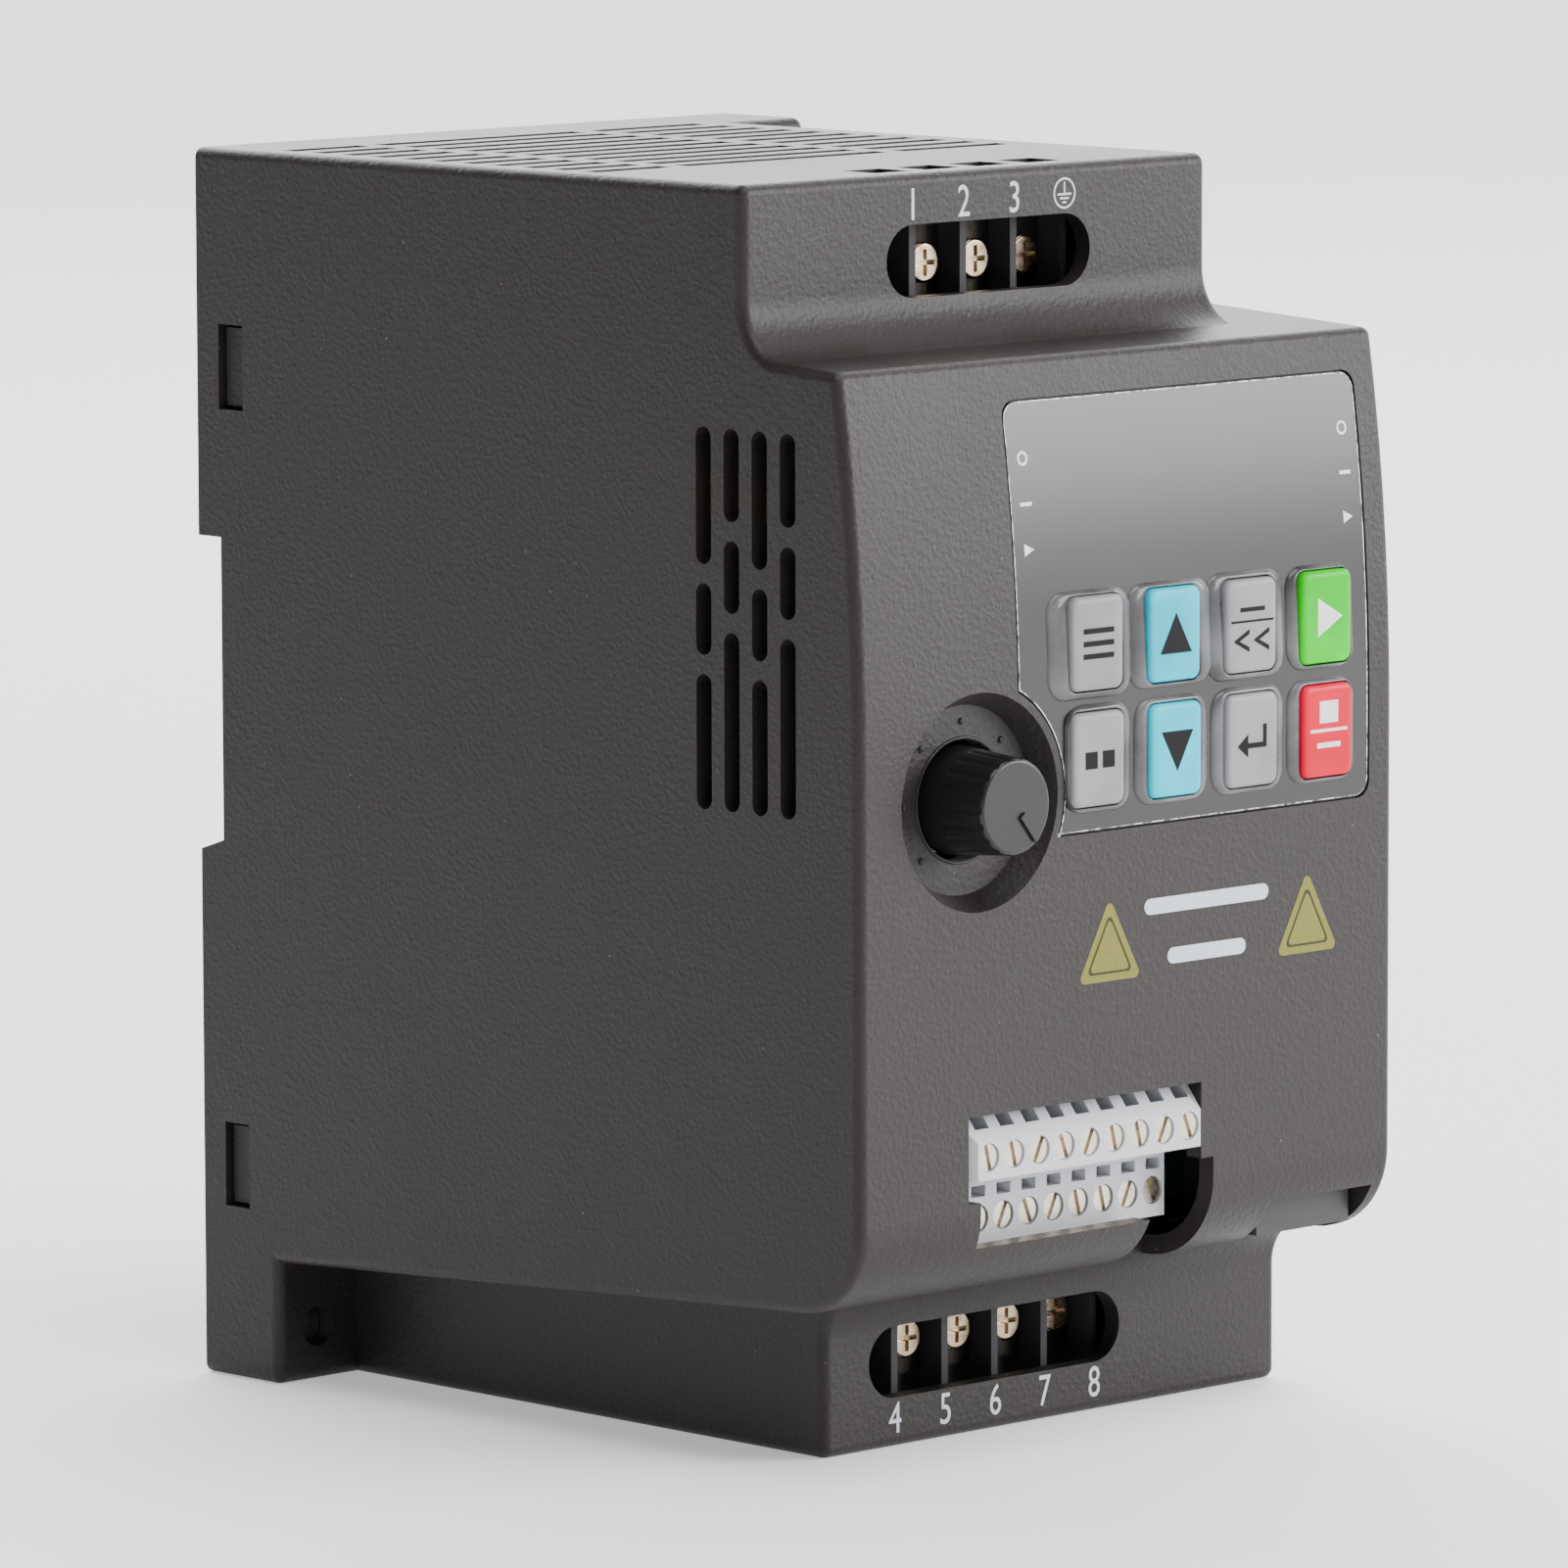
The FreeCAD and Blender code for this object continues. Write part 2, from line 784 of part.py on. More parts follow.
def base_blocks():
    """Plate, rim, rail well, latch well, heatsink posts and mounting bosses."""
    back_plate = depth - base_plate
    z0 = wall + snap_gap
    z1 = height - z0
    rim_front = depth - base_reach
    room_half = base_half - base_rim
    room = box(-room_half, room_half, rim_front - past, back_plate, z0 + base_rim, z1 - base_rim)
    blocks = [box(-base_half, base_half, back_plate, depth, z0, z1)]
    blocks.append(box(-base_half, base_half, rim_front, depth, z0, z1).cut(room))
    well_low = rail_low - rail_well_margin
    well_high = rail_high + rail_hook + base_plate
    blocks.append(box(-base_half, base_half, depth - rail_depth - base_plate, depth, well_low, well_high))
    well_half = latch_half + base_plate
    well_front = groove_front - base_plate
    blocks.append(box(-well_half, well_half, well_front, depth, groove_low - base_plate, rail_low))
    blocks.extend(rod(x, z, sink_post_radius, fin_back, depth) for x, z in heatsink_screw_places())
    boss_front = flange_front + wall + snap_gap
    inside = box(-base_half, base_half, boss_front, depth, z0, z1)
    for x, z in mount_places():
        blocks.append(rod(x, z, mount_hole_radius + mount_boss_wall, boss_front, depth).common(inside))
    return blocks


def rear_base():
    solid = fuse_all(base_blocks() + snap_hooks())
    tools = [rail_notch(-half, half)]
    hook_half = base_half - rail_hook_inset
    hook_front = depth - rail_depth
    tools.append(box(-hook_half, hook_half, hook_front, hook_front + rail_hook_height, rail_high - past,
                     rail_high + rail_hook))
    groove_half = latch_half + slide_gap
    groove_high = rail_low + past / 2.0
    tools.append(box(-groove_half, groove_half, groove_front, depth - latch_cover, groove_low, groove_high))
    open_half = latch_half - latch_lip
    tools.append(box(-open_half, open_half, groove_front, depth + past, groove_low, groove_high))
    for x, z in heatsink_screw_places():
        tools.append(rod(x, z, sink_shank_well, fin_back - past, depth + past))
        tools.append(rod(x, z, sink_head_well, depth - sink_head_front - past / 10.0, depth + past))
    tools.extend(rod(x, z, mount_hole_radius, flange_front, depth + past) for x, z in mount_places())
    return cut_all(solid, tools)


def din_latch():
    y1 = depth - latch_cover - slide_gap
    y0 = y1 - latch_thick
    plate = box(-latch_half, latch_half, y0, y1, latch_low, rail_low - past)
    nose_half = latch_half - past
    nose = box(-nose_half, nose_half, y1 - latch_nose_thick, y1, rail_low - 2 * past, rail_low + latch_nose)
    pull_high = latch_low + latch_pull_height
    pull = box(-latch_pull_half, latch_pull_half, y0, depth - slide_gap, latch_low, pull_high)
    slot_half, slot_low, slot_high = latch_slot
    slot = box(-slot_half, slot_half, y0 - past, depth + past, latch_low + slot_low, latch_low + slot_high)
    window_rim, window_low, window_high = latch_window
    window_half = latch_half - window_rim
    window = box(-window_half, window_half, y0 - past, depth + past, latch_low + window_low,
                 latch_low + window_high)
    return cut_all(fuse_all([plate, nose, pull]), [slot, window])


def heatsink():
    z0 = heatsink_bottom
    fin_front = heatsink_front + heatsink_plate / 2.0
    pieces = [box(-sink_half, sink_half, heatsink_front, heatsink_front + heatsink_plate, z0, sink_top)]
    span = 2 * (sink_half - side_fin_thick)
    for i in range(fin_count):
        x = -span / 2.0 + span * (i + 1) / (fin_count + 1)
        pieces.append(box(x - fin_thick / 2.0, x + fin_thick / 2.0, fin_front, fin_back, z0, sink_top))
    for side in (-1, 1):
        x0, x1 = sorted((side * sink_half, side * (sink_half - side_fin_thick)))
        pieces.append(box(x0, x1, fin_front, fin_back, z0, sink_top))
    solid = fuse_all(pieces)
    holes = [rod(x, z, sink_hole_radius, fin_back - sink_hole_depth, fin_back + past)
             for x, z in heatsink_screw_places()]
    holes.extend(rod(x, z, screw_hole, heatsink_front - past, heatsink_front + spacer_hole_depth)
                 for x, z in spacer_places())
    return cut_all(solid, holes)


def cross_slot(x, z, front, deep):
    """Cross recess that is cut back from a depth in front of a screw head."""
    y0 = front - past
    flat = box(x - cross_reach, x + cross_reach, y0, front + deep, z - cross_half, z + cross_half)
    tall = box(x - cross_half, x + cross_half, y0, front + deep, z - cross_reach, z + cross_reach)
    return flat.fuse(tall)


def heatsink_screws():
    screws = []
    for x, z in heatsink_screw_places():
        head = rod(x, z, sink_head_radius, depth - sink_head_front, depth - sink_head_back)
        shank = rod(x, z, sink_screw_radius, fin_back - sink_thread_depth, depth - sink_head_front)
        screw = head.fuse(shank).removeSplitter()
        screws.append(screw.cut(cross_slot(x, z, depth, past).translated(V(0, -past, 0))))
    return screws


def fan_frame():
    r = fan_size / 2.0
    z0 = wall
    z1 = z0 + fan_thick
    frame = box(-r, r, fan_y - r, fan_y + r, z0, z1)
    frame = frame.cut(column(0, fan_y, fan_bore, z0 - past, z1 + past))
    hub = column(0, fan_y, fan_hub, z1 - fan_web, z1)
    pin = column(0, fan_y, fan_pin, z0 + fan_pin_front, z1)
    struts = []
    for i in range(4):
        strut = box(fan_hub - past, fan_bore + past, fan_y - fan_strut_half, fan_y + fan_strut_half,
                    z1 - fan_web, z1)
        struts.append(strut.rotated(V(0, fan_y, 0), V(0, 0, 1), 45 + 90 * i))
    whole = fuse_all([frame, hub, pin] + struts)
    reach = r - fan_corner_inset
    holes = [column(sx * reach, fan_y + sy * reach, fan_corner_hole, z0 - past, z1 + past)
             for sx in (-1, 1) for sy in (-1, 1)]
    return cut_all(whole, holes)


def fan_rotor():
    z0 = wall + fan_rotor_foot
    z1 = wall + fan_thick - fan_rotor_head
    middle_z = (z0 + z1) / 2.0
    pieces = [column(0, fan_y, fan_hub, z0, z1)]
    for i in range(fan_blades):
        blade = box(fan_hub - blade_root, fan_bore, fan_y - blade_half, fan_y + blade_half,
                    middle_z - blade_reach, middle_z + blade_reach)
        blade = blade.rotated(V(fan_hub, fan_y, middle_z), V(1, 0, 0), blade_angle)
        pieces.append(blade.rotated(V(0, fan_y, 0), V(0, 0, 1), 360.0 * i / fan_blades))
    swept = column(0, fan_y, fan_bore - fan_turn_gap, z0, z1)
    solid = fuse_all(pieces).common(swept)
    return solid.cut(column(0, fan_y, fan_pin + shaft_gap, wall + fan_pin_front - 2 * snap_gap, z1 + past))


def keypad_overlay():
    sheet = bow_slab(overlay_recess - overlay_thick, overlay_recess, belly_height + past, ledge_height + past)
    sheet = sheet.common(overlay_outline(0.0, -wall, keypad_board_front))
    windows = [key_window(x, z, key_gap, -wall, switch_top) for _, x, z in key_places()]
    return cut_all(sheet, windows)


def key(x, z):
    """Cap, the flange that holds it behind the front wall, and the stem that meets its switch."""
    surface = bow(z)
    inner = bow(z + key_height / 2.0 + key_flange, wall) + slide_gap / 2.0
    w = key_width / 2.0
    h = key_height / 2.0
    buried = inner + key_flange_thick / 2.0
    cap = round_box(x - w, x + w, surface - key_proud, buried, z - h, z + h, key_round)
    crown = [e for e in cap.Edges if e.BoundBox.YMax < surface - key_proud + 0.01]
    cap = cap.makeFillet(key_crown * key_proud, crown)
    flange = box(x - w - key_flange, x + w + key_flange, inner, inner + key_flange_thick,
                 z - h - key_flange, z + h + key_flange)
    stem_end = switch_top - key_travel - key_gap
    stem = box(x - key_stem, x + key_stem, inner, stem_end, z - key_stem, z + key_stem)
    return fuse_all([cap, flange, stem])


def tact_switches():
    switches = []
    r = switch_size / 2.0
    front = keypad_board_front - switch_depth
    for _, x, z in key_places():
        body = box(x - r, x + r, front, keypad_board_front, z - r, z + r)
        switches.append(body.fuse(rod(x, z, plunger_radius, switch_top, front)).removeSplitter())
    return switches


def knob_flute(angle, y0, y1):
    """Shallow groove along the knob's sloping side."""
    slope = (knob_base_radius - knob_top_radius) / (y1 - y0)
    lift = knob_flute_radius - knob_flute_depth
    start_y = y0 - past
    start = knob_top_radius - slope * past + lift
    direction = V(slope * math.cos(angle), 1.0, slope * math.sin(angle))
    foot = V(knob_x + start * math.cos(angle), start_y, knob_z + start * math.sin(angle))
    length = (knob_flute_foot - start_y) * direction.Length
    return Part.makeCylinder(knob_flute_radius, length, foot, direction)


def speed_knob():
    y0 = pointer_height - knob_reach
    y1 = knob_recess_depth + knob_skirt
    solid = Part.makeCone(knob_top_radius, knob_base_radius, y1 - y0, V(knob_x, y0, knob_z), V(0, 1, 0))
    crown = [e for e in solid.Edges if e.BoundBox.YMax < y0 + 0.01]
    solid = solid.makeFillet(knob_crown, crown)
    tools = [rod(knob_x, knob_z, shaft_radius, knob_bore_end - knob_reach, y1 + past)]
    tools.extend(knob_flute(2 * math.pi * i / knob_flutes, y0, y1) for i in range(knob_flutes))
    pointer_x = knob_x + knob_top_radius - pointer_end_gap
    pointer_half = pointer_width / 2.0
    pointer = box(knob_x + pointer_start, pointer_x, y0 - pointer_height, y0 + past / 2.0,
                  knob_z - pointer_half, knob_z + pointer_half)
    pointer = pointer.rotated(V(knob_x, 0, knob_z), V(0, 1, 0), pointer_angle)
    return cut_all(solid, tools).fuse(pointer).removeSplitter()


def pot_shaft():
    shoulder = keypad_board_front - pot_shoulder
    shaft = rod(knob_x, knob_z, shaft_radius, knob_bore_end - knob_reach, shoulder)
    foot = rod(knob_x, knob_z, shaft_foot_radius, shoulder, keypad_board_front - pot_foot_gap)
    return shaft.fuse(foot).removeSplitter()


def potentiometer():
    r = pot_body / 2.0
    front = keypad_board_front - pot_depth
    body = box(knob_x - r, knob_x + r, front, keypad_board_front, knob_z - r - past, knob_z + r)
    bore_end = keypad_board_front - pot_bore_gap
    return body.cut(rod(knob_x, knob_z, shaft_foot_radius + shaft_gap, front - past, bore_end))


def display_module():
    front = bow(overlay_top - overlay_round) + overlay_recess + snap_gap
    return display_box(-snap_gap, front, keypad_board_front)


def indicator_leds():
    return [rod(x, z, led_radius, bow(z, wall) + led_behind, keypad_board_front) for x, z in led_places()]


def keypad_board():
    y1 = keypad_board_front + board_thick
    y0 = keypad_board_front
    board = box(-board_half, board_half, y0, y1, overlay_bottom - board_drop, overlay_top + post_low_drop)
    return cut_all(board, [rod(x, z, keypad_board_hole, y0 - past, y1 + past) for x, z in keypad_posts()])


def pan_screws(places, seat, direction, length):
    """Pan-head screws along Y; direction is where the shank points from its seat."""
    screws = []
    for x, z in places:
        head_y = sorted((seat, seat - direction * pan_head_height))
        shank_y = sorted((seat, seat + direction * length))
        head = rod(x, z, pan_head_radius, head_y[0], head_y[1])
        shank = rod(x, z, screw_shank, shank_y[0], shank_y[1])
        screws.append(head.fuse(shank).removeSplitter())
    return screws


def spacer_places():
    x = board_half - spacer_inset
    low = heatsink_bottom + spacer_rise
    high = sink_top - spacer_rise
    return [(side * x, z) for side in (-1, 1) for z in (low, high)]


def control_board():
    y0 = control_board_front
    y1 = y0 + board_thick
    board = box(-board_half, board_half, y0, y1, belly_height + 2 * wall, ledge_height - 2 * wall)
    return cut_all(board, [rod(x, z, board_hole, y0 - past, y1 + past) for x, z in spacer_places()])


def power_board():
    y0 = power_board_front
    y1 = y0 + board_thick
    gap = wall + board_gap
    middle = box(-board_half, board_half, y0, y1, belly_height + wall, ledge_height)
    top = box(-board_half, upper_right - gap, y0, y1, ledge_height - gap, height - gap)
    foot = box(lower_left + gap, board_half, y0, y1, gap, belly_height + gap)
    return cut_all(fuse_all([middle, top, foot]), [rod(x, z, board_hole, y0 - past, y1 + past)
                                                   for x, z in spacer_places()])


def spacers(y0, y1):
    return [rod(x, z, spacer_radius, y0, y1).cut(rod(x, z, screw_hole, y0 - past, y1 + past))
            for x, z in spacer_places()]


def barrier_block(poles, centre_x, screw_z):
    x = poles * terminal_pitch / 2.0
    h = terminal_block_height / 2.0
    z0 = screw_z - h
    z1 = screw_z + h
    thin = divider_thick / 2.0
    pieces = [box(centre_x - x, centre_x + x, plate_front + plate_thick, power_board_front, z0, z1)]
    for i in range(poles + 1):
        d = centre_x - x + i * terminal_pitch
        pieces.append(box(d - thin, d + thin, divider_front, power_board_front, z0, z1))
    hole_end = plate_front + clamp_hole_depth
    holes = [rod(px, screw_z, clamp_hole, plate_front, hole_end) for px in pole_centres(poles, centre_x)]
    return cut_all(fuse_all(pieces), holes)


def clamp_plates(poles, centre_x, screw_z):
    plates = []
    reach = (terminal_pitch - divider_thick) / 2.0 - snap_gap
    y1 = plate_front + plate_thick
    for x in pole_centres(poles, centre_x):
        plate = box(x - reach, x + reach, plate_front, y1, screw_z - plate_half_height,
                    screw_z + plate_half_height)
        plates.append(plate.cut(rod(x, screw_z, clamp_hole, plate_front - past, y1 + past)))
    return plates


def power_screws(poles, centre_x, screw_z):
    screws = []
    front = plate_front - screw_head_height
    for x in pole_centres(poles, centre_x):
        head = rod(x, screw_z, screw_head_radius, front, plate_front)
        crown = [e for e in head.Edges if e.BoundBox.YMax < front + 0.01]
        head = head.makeFillet(screw_crown, crown)
        shank = rod(x, screw_z, clamp_shank, plate_front, plate_front + clamp_shank_length)
        screws.append(head.fuse(shank).removeSplitter().cut(cross_slot(x, screw_z, front, cross_depth)))
    return screws


def control_centres(poles):
    return [control_right_x - control_pitch * (i + 0.5) for i in range(poles)]


def upper_deck():
    x1 = control_right_x - slide_gap / 2.0
    x0 = control_right_x - upper_poles * control_pitch - deck_end + slide_gap
    z0 = upper_deck_bottom
    z1 = z0 + upper_deck_height
    lip = z1 - upper_deck_lip
    back = control_board_front
    brow = (upper_deck_bevel, z1)
    edges = [line((0.0, z0), (0.0, lip)), line((0.0, lip), brow), line(brow, (back, z1)),
             line((back, z1), (back, z0)), line((back, z0), (0.0, z0))]
    block = side_prism(edges, x0, x1)
    bevel_x, bevel_y = upper_deck_end_bevel
    foot = z0 - past
    bevel = Part.makePolygon([V(x0, 0, foot), V(x0 + bevel_x, 0, foot), V(x0, bevel_y, foot), V(x0, 0, foot)])
    tools = [Part.Face(bevel).extrude(V(0, 0, upper_deck_height + 2 * past))]
    for x in control_centres(upper_poles):
        tools.append(rod(x, z0 + upper_screw_rise, screw_well_radius, -past, screw_well_depth))
        tools.append(box(x - wire_slot_half, x + wire_slot_half, wire_slot_half, screw_well_depth + past,
                         z1 - 2 * wire_slot_half, z1 + past))
    return cut_all(block, tools)


def lower_deck():
    x1 = control_right_x - slide_gap / 2.0
    x0 = control_right_x - lower_poles * control_pitch - deck_end
    z0 = lower_deck_bottom
    z1 = z0 + lower_deck_height
    well_back = lower_deck_front + screw_well_depth
    block = box(x0, x1, lower_deck_front, control_board_front, z0, z1)
    tools = []
    for x in control_centres(lower_poles):
        left = x - wire_slot_half
        right = x + wire_slot_half
        tools.append(rod(x, z0 + lower_screw_rise, screw_well_radius, 0, well_back))
        tools.append(box(left, right, 0, well_back, z1 - 2 * wire_slot_half, z1 - wire_slot_half + slide_gap))
        tools.append(box(left, right, lower_deck_front + wire_slot_half, well_back, z0 - past, z0 + past))
    return cut_all(block, tools)


def control_screws(poles, deck_front, z):
    """Slotted clamp screws; each is left at its own angle, as after wiring."""
    screws = []
    front = deck_front + control_screw_sunk
    for i, x in enumerate(control_centres(poles)):
        head = rod(x, z, control_screw_radius, front, front + control_screw_length)
        reach = 2 * control_screw_radius
        slot = box(x - reach, x + reach, front - past, front + control_slot_depth, z - control_slot_half,
                   z + control_slot_half)
        turn = screw_first_turn + screw_turn_step * (i * i % 5)
        slot = slot.rotated(V(x, 0, z), V(0, 1, 0), turn)
        screws.append(head.cut(slot))
    return screws


def comm_jack():
    x0 = port_x0 + jack_gap
    x1 = port_x1 - jack_gap
    z0 = belly_height + jack_foot
    z1 = z0 + jack_height
    body = box(x0, x1, jack_front, control_board_front, z0, z1)
    centre_x = (x0 + x1) / 2.0
    reach = plug_width / 2.0
    y0 = jack_front + jack_lip
    mouth = box(centre_x - reach, centre_x + reach, y0, y0 + plug_depth, z0 - past, z1 - jack_roof)
    tongue = box(centre_x - tongue_half, centre_x + tongue_half, jack_front + jack_lip / 2.0, y0 + past,
                 z0 - past, z0 + tongue_height)
    return cut_all(body, [mouth, tongue])


def dc_capacitors():
    radius = capacitor_radius
    y = (control_board_front + board_thick + power_board_front) / 2.0
    z0 = knob_z - capacitor_drop
    groove_low = z0 + groove_rise
    cans = []
    for i in range(2):
        x = radius - board_half + capacitor_side_gap + i * (2 * radius + capacitor_gap)
        can = column(x, y, radius, z0, z0 + capacitor_height)
        band = column(x, y, radius + past, groove_low, groove_low + groove_height)
        core = column(x, y, radius - groove_depth, z0, z0 + capacitor_height)
        cans.append(can.cut(band.cut(core)))
    return cans


def seated(size, place, back):
    """Block of a size whose back is on a board or plate, placed beside and above the knob's axis."""
    wide, deep, tall = size
    x = place[0]
    z = knob_z + place[1]
    return box(x - wide / 2.0, x + wide / 2.0, back - deep, back, z - tall / 2.0, z + tall / 2.0)


def rectifier_bridge():
    block = seated(bridge_size, bridge_place, heatsink_front)
    hole = rod(bridge_place[0], knob_z + bridge_place[1], bridge_hole, heatsink_front - 2 * bridge_size[1],
               heatsink_front + past)
    return block.cut(hole)


def transformer():
    """Core with a window at each side of its winding."""
    leg, cheek, edge = core_window
    core = seated(core_size, core_place, power_board_front)
    wide, deep, tall = core_size
    x = core_place[0]
    z = knob_z + core_place[1]
    y0 = power_board_front - deep + cheek
    y1 = power_board_front - cheek
    z0 = z - tall / 2.0 + edge
    z1 = z + tall / 2.0 - edge
    reach = wide / 2.0
    return cut_all(core, [box(x - reach - past, x - reach + leg, y0, y1, z0, z1),
                          box(x + reach - leg, x + reach + past, y0, y1, z0, z1)])


def choke():
    """Ring core with its windings, on a foot."""
    x = choke_place[0]
    z = knob_z + choke_place[1]
    y = power_board_front - choke_front
    r = choke_front
    ring = Part.makeTorus(choke_radius, choke_ring, V(x, y, z), V(0, 1, 0))
    foot = box(x - r, x + r, y + choke_ring / 2.0, power_board_front, z - r, z + r)
    return ring.fuse(foot).removeSplitter()


def between(size, place, front, back):
    """Plug that spans two boards."""
    wide, tall = size
    return seated((wide, back - front, tall), place, back)


def build_all():
    os.makedirs("parts", exist_ok=True)
    write("housing", housing())
    write("rear_base", [rear_base()])
    write("din_latch", [din_latch()])
    write("heatsink", [heatsink()])
    write("heatsink_screws", heatsink_screws())
    write("fan_frame", [fan_frame()])
    write("fan_rotor", [fan_rotor()])
    write("keypad_overlay", [keypad_overlay()])
    for name, x, z in key_places():
        write(name, [key(x, z)])
    write("tact_switches", tact_switches())
    write("speed_knob", [speed_knob()])
    write("pot_shaft", [pot_shaft()])
    write("potentiometer", [potentiometer()])
    write("display_module", [display_module()])
    write("indicator_leds", indicator_leds())
    write("keypad_board", [keypad_board()])
    keypad_board_back = keypad_board_front + board_thick
    write("keypad_screws", pan_screws(keypad_posts(), keypad_board_back, -1, keypad_screw_length))
    write("control_board", [control_board()])
    write("control_board_screws", pan_screws(spacer_places(), control_board_front, 1, control_screw_reach))
    write("power_board", [power_board()])
    write("control_spacers", spacers(control_board_front + board_thick, power_board_front))
    write("power_spacers", spacers(power_board_front + board_thick, heatsink_front))
    write("input_terminal_block", [barrier_block(input_poles, input_centre_x, screw_high_z)])
    write("output_terminal_block", [barrier_block(output_poles, output_centre_x, screw_low_z)])
    write("input_clamp_plates", clamp_plates(input_poles, input_centre_x, screw_high_z))
    write("output_clamp_plates", clamp_plates(output_poles, output_centre_x, screw_low_z))
    write("input_terminal_screws", power_screws(input_poles, input_centre_x, screw_high_z))
    write("output_terminal_screws", power_screws(output_poles, output_centre_x, screw_low_z))
    write("control_terminal_upper", [upper_deck()])
    write("control_terminal_lower", [lower_deck()])
    write("upper_clamp_screws", control_screws(upper_poles, 0.0, upper_deck_bottom + upper_screw_rise))
    lower_screw_z = lower_deck_bottom + lower_screw_rise
    write("lower_clamp_screws", control_screws(lower_poles, lower_deck_front, lower_screw_z))
    write("comm_jack", [comm_jack()])
    write("dc_capacitors", dc_capacitors())
    write("power_module", [seated(module_size, module_place, heatsink_front)])
    write("rectifier_bridge", [rectifier_bridge()])
    write("precharge_relay", [seated(relay_size, relay_place, power_board_front)])
    write("supply_transformer", [transformer()])
    write("filter_choke", [choke()])
    write("control_processor", [seated(processor_size, processor_place, control_board_front)])
    write("board_link", [between(board_link_size, board_link_place, keypad_board_front + board_thick,
                                 control_board_front)])
    write("power_link", [between(power_link_size, power_link_place, control_board_front + board_thick,
                                 power_board_front)])


build_all()
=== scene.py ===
import logging
import math
from dataclasses import dataclass, field
from enum import Enum
from typing import Callable, List, Optional, Sequence, Tuple, Union

import bmesh
import bpy
from mathutils import Euler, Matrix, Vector


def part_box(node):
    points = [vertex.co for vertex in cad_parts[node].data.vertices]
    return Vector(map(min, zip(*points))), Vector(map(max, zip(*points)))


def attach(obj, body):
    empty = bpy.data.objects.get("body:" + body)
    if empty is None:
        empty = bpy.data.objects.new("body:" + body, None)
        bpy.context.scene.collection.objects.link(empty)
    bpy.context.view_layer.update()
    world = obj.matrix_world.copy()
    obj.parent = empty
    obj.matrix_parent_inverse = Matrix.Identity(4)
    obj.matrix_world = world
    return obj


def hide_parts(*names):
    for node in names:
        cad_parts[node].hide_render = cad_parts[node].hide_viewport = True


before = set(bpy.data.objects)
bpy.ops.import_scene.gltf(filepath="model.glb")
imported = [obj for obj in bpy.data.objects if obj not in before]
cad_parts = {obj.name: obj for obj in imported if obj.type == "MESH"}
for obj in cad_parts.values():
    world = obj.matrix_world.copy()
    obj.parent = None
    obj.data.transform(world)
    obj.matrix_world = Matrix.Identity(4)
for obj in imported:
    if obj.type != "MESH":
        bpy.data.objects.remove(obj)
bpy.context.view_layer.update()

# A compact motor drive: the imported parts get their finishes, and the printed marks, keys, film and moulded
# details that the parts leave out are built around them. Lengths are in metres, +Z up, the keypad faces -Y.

log = logging.getLogger("drive")
MM = 0.001
Colour = Tuple[float, float, float]
Point = Tuple[float, float]
Span = Tuple[float, float]
Stops = Sequence[Tuple[float, float]]
FIGURE_NARROWING = 0.82
FIGURE_CURVE_PARTS = 6
SAME_POINT = 1e-7
ROUND_LIMIT = 2.001
RING_PARTS = 32
FLAT_PRINT = 10.0


# Shader graphs


class Sock:
    """A value in a shader graph; arithmetic on it adds Math nodes."""

    def __init__(self, graph: "Graph", socket: bpy.types.NodeSocket) -> None:
        """Keep the graph and the output socket."""
        self.graph = graph
        self.socket = socket

    def math(self, operation: str, *others: Union["Sock", float], flip: bool = False) -> "Sock":
        """Add one Math node.

        Args:
            operation: The node's operation.
            others: The other operands.
            flip: True puts this value second, for reflected forms.

        Returns:
            The node's result.
        """
        values = list(others) + [self] if flip else [self] + list(others)
        return self.graph.node("ShaderNodeMath", {"operation": operation}, dict(enumerate(values)))

    def __add__(self, other: Union["Sock", float]) -> "Sock":
        """Sum."""
        return self.math("ADD", other)

    def __radd__(self, other: float) -> "Sock":
        """Sum with a number first."""
        return self.math("ADD", other, flip=True)

    def __sub__(self, other: Union["Sock", float]) -> "Sock":
        """Difference."""
        return self.math("SUBTRACT", other)

    def __rsub__(self, other: float) -> "Sock":
        """Difference with a number first."""
        return self.math("SUBTRACT", other, flip=True)

    def __mul__(self, other: Union["Sock", float]) -> "Sock":
        """Product."""
        return self.math("MULTIPLY", other)

    def __rmul__(self, other: float) -> "Sock":
        """Product with a number first."""
        return self.math("MULTIPLY", other, flip=True)


